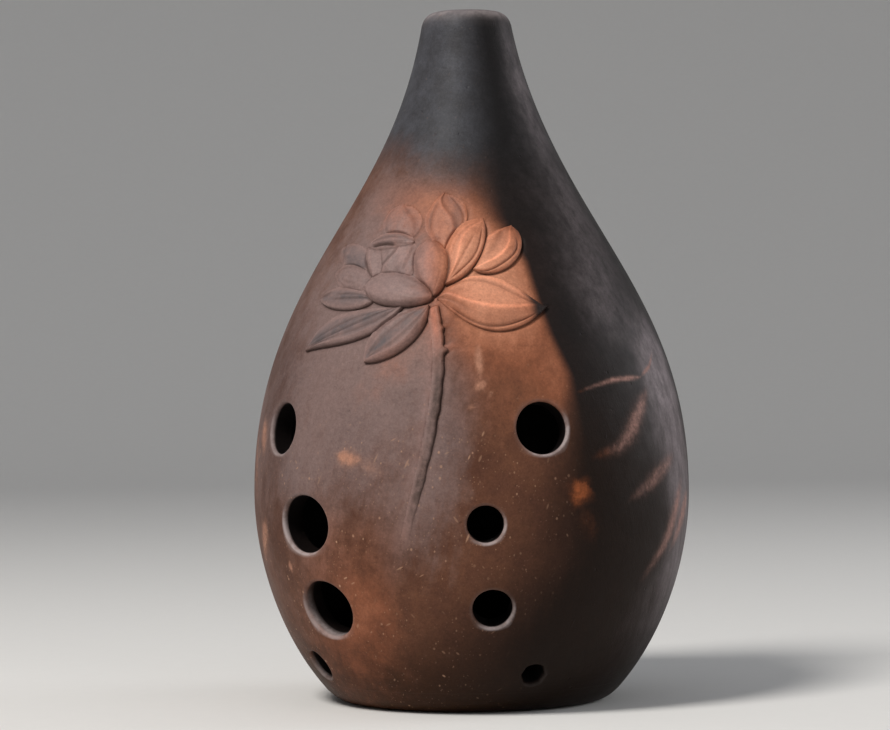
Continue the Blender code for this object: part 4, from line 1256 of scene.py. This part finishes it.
def kilnGroup():
    # colour of the fired clay, laid from the ground up: body, foot with painted shade, haze with painted
    # sheen, flush, neck, smudges with painted shade, smoke with painted shade, painted sheen, flame marks,
    # inside with soot and painted shade
    inputs = {"Place": "Vector", **{name: "Float" for name in kilnMasks}}
    tree, given, gives = newGroup("kilnColours", inputs, {"Colour": "Color", "Smoked_and_shaded": "Float"})
    place = given["Place"]
    clouds = noise(tree, place, 15 * mm, 5.0, 0.6)
    patches = noise(tree, place, 5 * mm, 5.0, 0.65)
    brushed = noise(tree, place, 2.2 * mm, 4.0, 0.65, (0.2, 0.25, 0), (1, 1, 6))
    fine = noise(tree, place, 1.0 * mm, 3.0, 0.7)
    mottle = plus(tree, times(tree, clouds, 0.5), times(tree, patches, 0.5))
    shift = calc(tree, "SUBTRACT", plus(tree, mottle, times(tree, brushed, 0.4)), 0.7)
    height = addNode(tree, "ShaderNodeSeparateXYZ", {0: place}).outputs[2]

    def level(key, mask):
        # a mask pushed about by the mottling, then ramped
        amount, low, high = kilnLevels[key]
        return between(tree, plus(tree, mask, times(tree, shift, amount)), low, high)

    def ramp(key, value):
        # a value ramped, not pushed about
        return between(tree, value, *kilnRamps[key])

    def cover(key, mask):
        # a mask times how far its layer covers
        return times(tree, mask, kilnCovers[key])
    colour = mixColour(tree, ramp("warm", mottle), kiln["body"], kiln["warm"])
    # darker towards the foot: partly the clay's own colour, partly painted shade
    colour = mixColour(tree, level("foot", height), colour, kiln["foot"])
    # grey-violet haze, partly a painted sheen
    colour = mixColour(tree, cover("haze_and_sheen", level("haze_and_sheen", given["Haze_and_sheen"])), colour, kiln["haze_and_sheen"])
    ember = mixColour(tree, level("ember", given["Flush"]), kiln["flushDeep"], kiln["flush"])
    colour = mixColour(tree, level("flush", given["Flush"]), colour, ember)
    grey = mixColour(tree, ramp("neck", patches), kiln["neckDark"], kiln["neck"])
    colour = mixColour(tree, level("neck", given["Neck"]), colour, grey)
    # soot smudges, with painted shade
    colour = mixColour(tree, cover("smudge_and_shade", given["Smudge_and_shade"]), colour, tinted(tree, colour, kiln["smudge_and_shade"]))
    # smoke, with the shade of the dark side painted in
    smokedAndShaded = level("smoke_and_shade", given["Smoke_and_shade"])
    sootyAndShaded = mixColour(tree, ramp("smoke_and_shade", height), kiln["smokeAndShadeLow"], kiln["smoke_and_shade"])
    colour = mixColour(tree, cover("smoke_and_shade", smokedAndShaded), colour, sootyAndShaded)
    # painted sheen, patchy along the burnishing
    pale = times(tree, level("painted_sheen", given["Painted_sheen"]), ramp("painted_sheen", brushed))
    colour = mixColour(tree, pale, colour, kiln["painted_sheen"])
    licked = times(tree, given["Marks"], ramp("markFine", fine))
    licked = times(tree, ramp("mark", licked), ramp("markBrushed", brushed))
    flame = mixColour(tree, ramp("markDeep", given["Smoke_and_shade"]), kiln["mark"], kiln["markDeep"])
    flame = mixColour(tree, ramp("markPink", given["Smoke_and_shade"]), flame, kiln["markPink"])
    colour = mixColour(tree, licked, colour, flame)
    # the black of bores and chamber: soot and painted shade
    colour = mixColour(tree, cover("inside", given["Inside"]), colour, kiln["inside"])
    dust = ramp("dust", noise(tree, place, 0.42 * mm, 2.0, 0.6))
    for grain, low, high in ((fine, .72, 1.25), (dust, .91, 1.09)):
        colour = tinted(tree, colour, mixColour(tree, grain, (low, low, low), (high, high, high)))
    tree.links.new(colour, gives["Colour"])
    tree.links.new(smokedAndShaded, gives["Smoked_and_shaded"])
    return tree


groups = dict(specks=speckGroup(), grain=grainGroup(), kiln=kilnGroup())


burnish = dict(
    paler=(1.5, 1.46, 1.46), wornAndHighlit=(1.6, 1.5, 1.48),     # tints of paler clay and of worn clay with its painted highlight
    gritTop=70, gritFull=44, gritLeast=0.10,            # heights between which grit comes in, and the least
    wearAndHighlightCover=0.8, creaseRough=0.2,                     # how a worn rim with its painted highlight covers the clay, how dull a crease is
    ashClouds=(0.76, 1.22, 0.3, 1.0), wearAndHighlightPatches=(0.35, 0.62, 0.55, 1.0),     # ramps that make them patchy
    bumpDepth=0.22, pitDepth=0.8, speckRise=0.25,       # millimetres, then shares of the grain's height
)


def clayMaterial(name, finish):
    # fired clay: kiln colours with painted shade and sheen, grit, paler worn rims with a painted highlight,
    # creases darkened with painted shade, and a soft burnish
    material = bpy.data.materials.new(name)
    material.use_nodes = True
    tree = material.node_tree
    tree.nodes.clear()
    place = addNode(tree, "ShaderNodeTexCoord").outputs["Object"]

    def mask(label):
        # the numbers that the mesh keeps under this label
        return addNode(tree, "ShaderNodeAttribute", attribute_name=label).outputs["Fac"]
    kilned, specks, grain = (addNode(tree, "ShaderNodeGroup", {"Place": place}, node_tree=groups[key])
                             for key in ("kiln", "specks", "grain"))
    for label in kilnMasks:
        tree.links.new(mask(label.lower()), kilned.inputs[label])
    # painted crease shade, rim wear with its painted highlight, wear with painted highlights on ridges, and
    # ash
    creaseShade, wearAndHighlight, wornAndHighlit, ash = (mask(label) for label in ("creaseShade", "wearAndHighlight", "wornAndHighlit", "ash"))
    colour = kilned.outputs["Colour"]
    colour = mixColour(tree, finish["paler"], colour, tinted(tree, colour, burnish["paler"]))
    cloudy = plus(tree, grain.outputs["Polish"], grain.outputs["Patches"])
    ashen = times(tree, ash, between(tree, cloudy, *burnish["ashClouds"]))
    colour = mixColour(tree, ashen, colour, finish["ashTint"])
    colour = mixColour(tree, wornAndHighlit, colour, tinted(tree, colour, burnish["wornAndHighlit"]))
    # painted shade in creases and along shaded edges
    colour = mixColour(tree, times(tree, creaseShade, finish["creaseShadeDark"]), colour, finish["creaseShadeTint"])
    # rims paled by wear and a painted highlight, patchy
    paled = mixColour(tree, burnish["wearAndHighlightCover"], colour, finish["wearAndHighlightTint"])
    patchy = times(tree, wearAndHighlight, between(tree, grain.outputs["Patches"], *burnish["wearAndHighlightPatches"]))
    colour = mixColour(tree, times(tree, patchy, finish["wearAndHighlight"]), colour, paled)
    unsmokedUnshaded = calc(tree, "SUBTRACT", 1.0, kilned.outputs["Smoked_and_shaded"])
    outside = calc(tree, "SUBTRACT", 1.0, mask("inside"), clamp=True)
    clear = times(tree, times(tree, unsmokedUnshaded, finish["specks"], clamp=True), outside)
    height = addNode(tree, "ShaderNodeSeparateXYZ", {0: place}).outputs[2]
    low = between(tree, height, burnish["gritTop"] * mm, burnish["gritFull"] * mm, burnish["gritLeast"], 1.0)
    strewn = times(tree, specks.outputs["Specks"], times(tree, clear, low))
    colour = mixColour(tree, strewn, colour, finish["speckTint"])
    polish = times(tree, grain.outputs["Polish"], finish["roughSpread"])
    polish = plus(tree, polish, finish["rough"] - finish["roughSpread"] / 2)
    rough = plus(tree, polish, times(tree, creaseShade, burnish["creaseRough"]), clamp=True)
    pits = times(tree, specks.outputs["Pits"], burnish["pitDepth"])
    relief = calc(tree, "SUBTRACT", grain.outputs["Height"], pits)
    relief = plus(tree, relief, times(tree, specks.outputs["Specks"], burnish["speckRise"]))
    bump = addNode(tree, "ShaderNodeBump", {
        "Strength": finish["bump"], "Distance": burnish["bumpDepth"] * mm, "Height": relief})
    shader = addNode(tree, "ShaderNodeBsdfPrincipled", {
        "Base Color": colour, "Roughness": rough, "Normal": bump.outputs[0],
        "Specular IOR Level": finish["shine"]})
    tree.links.new(shader.outputs[0], addNode(tree, "ShaderNodeOutputMaterial").inputs[0])
    return material


finishes = dict(
    vesselClay=dict(
        rough=0.52, roughSpread=0.22, shine=0.12, bump=0.55, specks=0.9, speckTint=(.52, .30, .19), paler=0.0,
        wearAndHighlight=0.95, wearAndHighlightTint=(.44, .375, .37), ashTint=(.19, .155, .16), creaseShadeDark=0.66,
        creaseShadeTint=(.026, .013, .010)),
    baseClay=dict(
        rough=0.52, roughSpread=0.22, shine=0.12, bump=0.55, specks=0.9, speckTint=(.52, .30, .19), paler=0.0,
        wearAndHighlight=0.5, wearAndHighlightTint=(.25, .19, .17), ashTint=(.19, .155, .16), creaseShadeDark=0.6,
        creaseShadeTint=(.03, .018, .014)),
    petalClay=dict(
        rough=0.54, roughSpread=0.2, shine=0.2, bump=0.75, specks=0.3, speckTint=(.52, .30, .20), paler=0.45,
        wearAndHighlight=0.5, wearAndHighlightTint=(.30, .22, .20), ashTint=(.105, .086, .088), creaseShadeDark=0.80,
        creaseShadeTint=(.032, .015, .011)),
    stemClay=dict(
        rough=0.54, roughSpread=0.2, shine=0.2, bump=0.5, specks=0.4, speckTint=(.50, .27, .17), paler=0.5,
        wearAndHighlight=0.5, wearAndHighlightTint=(.30, .22, .20), ashTint=(.062, .039, .032), creaseShadeDark=0.75,
        creaseShadeTint=(.030, .015, .011)),
)
clays = {name: clayMaterial(name, finish) for name, finish in finishes.items()}
print("materials made:", len(clays))


def addPiece(mesh, name, clay, node, clear=0):
    # one finished piece: its mesh and masks, its clay, and the node that it stands for
    data = finishMesh(mesh, name)
    paintMasks(data, clear)
    data.materials.append(clays[clay])
    piece = bpy.data.objects.new(name, data)
    scene.collection.objects.link(piece)
    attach(piece, "root")
    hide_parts(node)


addPiece(upperWall(), "vessel_upper", "vesselClay", "upper_shell")
addPiece(lowerWall(), "vessel_lower", "vesselClay", "lower_shell")
addPiece(baseDisc(), "vessel_base", "baseClay", "base_disc")
print("vessel made")
for name in petalOrder:
    addPiece(petalPiece(name), "lotus_" + name, "petalClay", name, petals[name].get("clear", 0))
addPiece(stemPiece(), "lotus_stem_carved", "stemClay", "lotus_stem")
print("lotus made")


# the stage, in metres: a pale floor that rises all round into a soft wall
stage = dict(
    flat=1.1, reach=2.3, rise=1.9, rings=(0.05, 0.3, 0.7), curveSteps=24, turnSteps=96,
    colour=(.78, .77, .75), unevenTint=0.015, fibre=0.004, rough=0.9, shine=0.1,
)


def stageFloor():
    # a disc, then a quarter of an ellipse turned round the axis
    steps = np.linspace(0, np.pi / 2, stage["curveSteps"])
    rising = stage["flat"] + (stage["reach"] - stage["flat"]) * np.sin(steps)
    across = np.concatenate([stage["rings"], rising])
    height = np.concatenate([np.zeros(len(stage["rings"])), stage["rise"] * (1 - np.cos(steps))])
    turn = np.linspace(-np.pi, np.pi, stage["turnSteps"] + 1)[:-1]
    mesh = startMesh()
    rows = putPoints(mesh, turned(turn[None, :], across[:, None], height[:, None]) / mm)
    putSheet(mesh, rows, flip=True)
    putFan(mesh, rows[0], putPole(mesh, 0))
    floor = bpy.data.objects.new("floor", finishMesh(mesh, "floor"))
    scene.collection.objects.link(floor)
    paper = bpy.data.materials.new("floorPaper")
    paper.use_nodes = True
    tree = paper.node_tree
    shader = tree.nodes["Principled BSDF"]
    shader.inputs["Roughness"].default_value = stage["rough"]
    shader.inputs["Specular IOR Level"].default_value = stage["shine"]
    place = addNode(tree, "ShaderNodeTexCoord").outputs["Object"]
    darker, paler = ([k * (1 + way * stage["unevenTint"]) for k in stage["colour"]] for way in (-1, 1))
    tint = mixColour(tree, noise(tree, place, stage["fibre"], 3.0, 0.6), darker, paler)
    tree.links.new(tint, shader.inputs["Base Color"])
    floor.data.materials.append(paper)


stageFloor()

# light: a large soft key from the left of the camera, a weak fill and a rim from behind on the right
lights = dict(
    key=dict(turn=-22, tilt=50, distance=0.95, size=0.28, power=7.9, colour=(1, .97, .93)),
    fill=dict(turn=62, tilt=18, distance=1.0, size=0.8, power=0.7, colour=(.95, .97, 1)),
    rim=dict(turn=126, tilt=15, distance=0.9, size=0.5, power=2.1, colour=(.95, .97, 1)),
)
aim = np.array([0, 0, 0.070])
for name, setting in lights.items():
    turn, tilt = np.radians(setting["turn"]), np.radians(setting["tilt"])
    lamp = bpy.data.lights.new(name, "AREA")
    lamp.shape = "DISK"
    lamp.size, lamp.energy, lamp.color = setting["size"], setting["power"], setting["colour"]
    holder = bpy.data.objects.new(name, lamp)
    away = np.array([np.cos(tilt) * np.sin(turn), -np.cos(tilt) * np.cos(turn), np.sin(tilt)])
    holder.location = aim + setting["distance"] * away
    holder.rotation_euler = (np.pi / 2 - tilt, 0, turn)
    scene.collection.objects.link(holder)
room = dict(colour=(.9, .93, 1), strength=0.26)
world = bpy.data.worlds.new("room")
world.use_nodes = True
world.node_tree.nodes["Background"].inputs[0].default_value = (*room["colour"], 1)
world.node_tree.nodes["Background"].inputs[1].default_value = room["strength"]
scene.world = world
print("stage and lights made")

# the camera stands where the photograph was taken: level, a little to the right of the front
view = dict(turn=20.6, distance=0.600, height=0.068, lens=118.7, sensor=36, shift=-0.0284, roll=0.6,
            nearest=0.01, farthest=20)
camera = bpy.data.cameras.new("camera")
camera.lens, camera.sensor_width, camera.shift_x = view["lens"], view["sensor"], view["shift"]
camera.clip_start, camera.clip_end = view["nearest"], view["farthest"]
holder = bpy.data.objects.new("camera", camera)
turn = np.radians(view["turn"])
holder.location = (view["distance"] * np.sin(turn), -view["distance"] * np.cos(turn), view["height"])
holder.rotation_euler = (np.pi / 2, np.radians(view["roll"]), turn)
scene.collection.objects.link(holder)
scene.camera = holder
scene.view_settings.view_transform = "Standard"
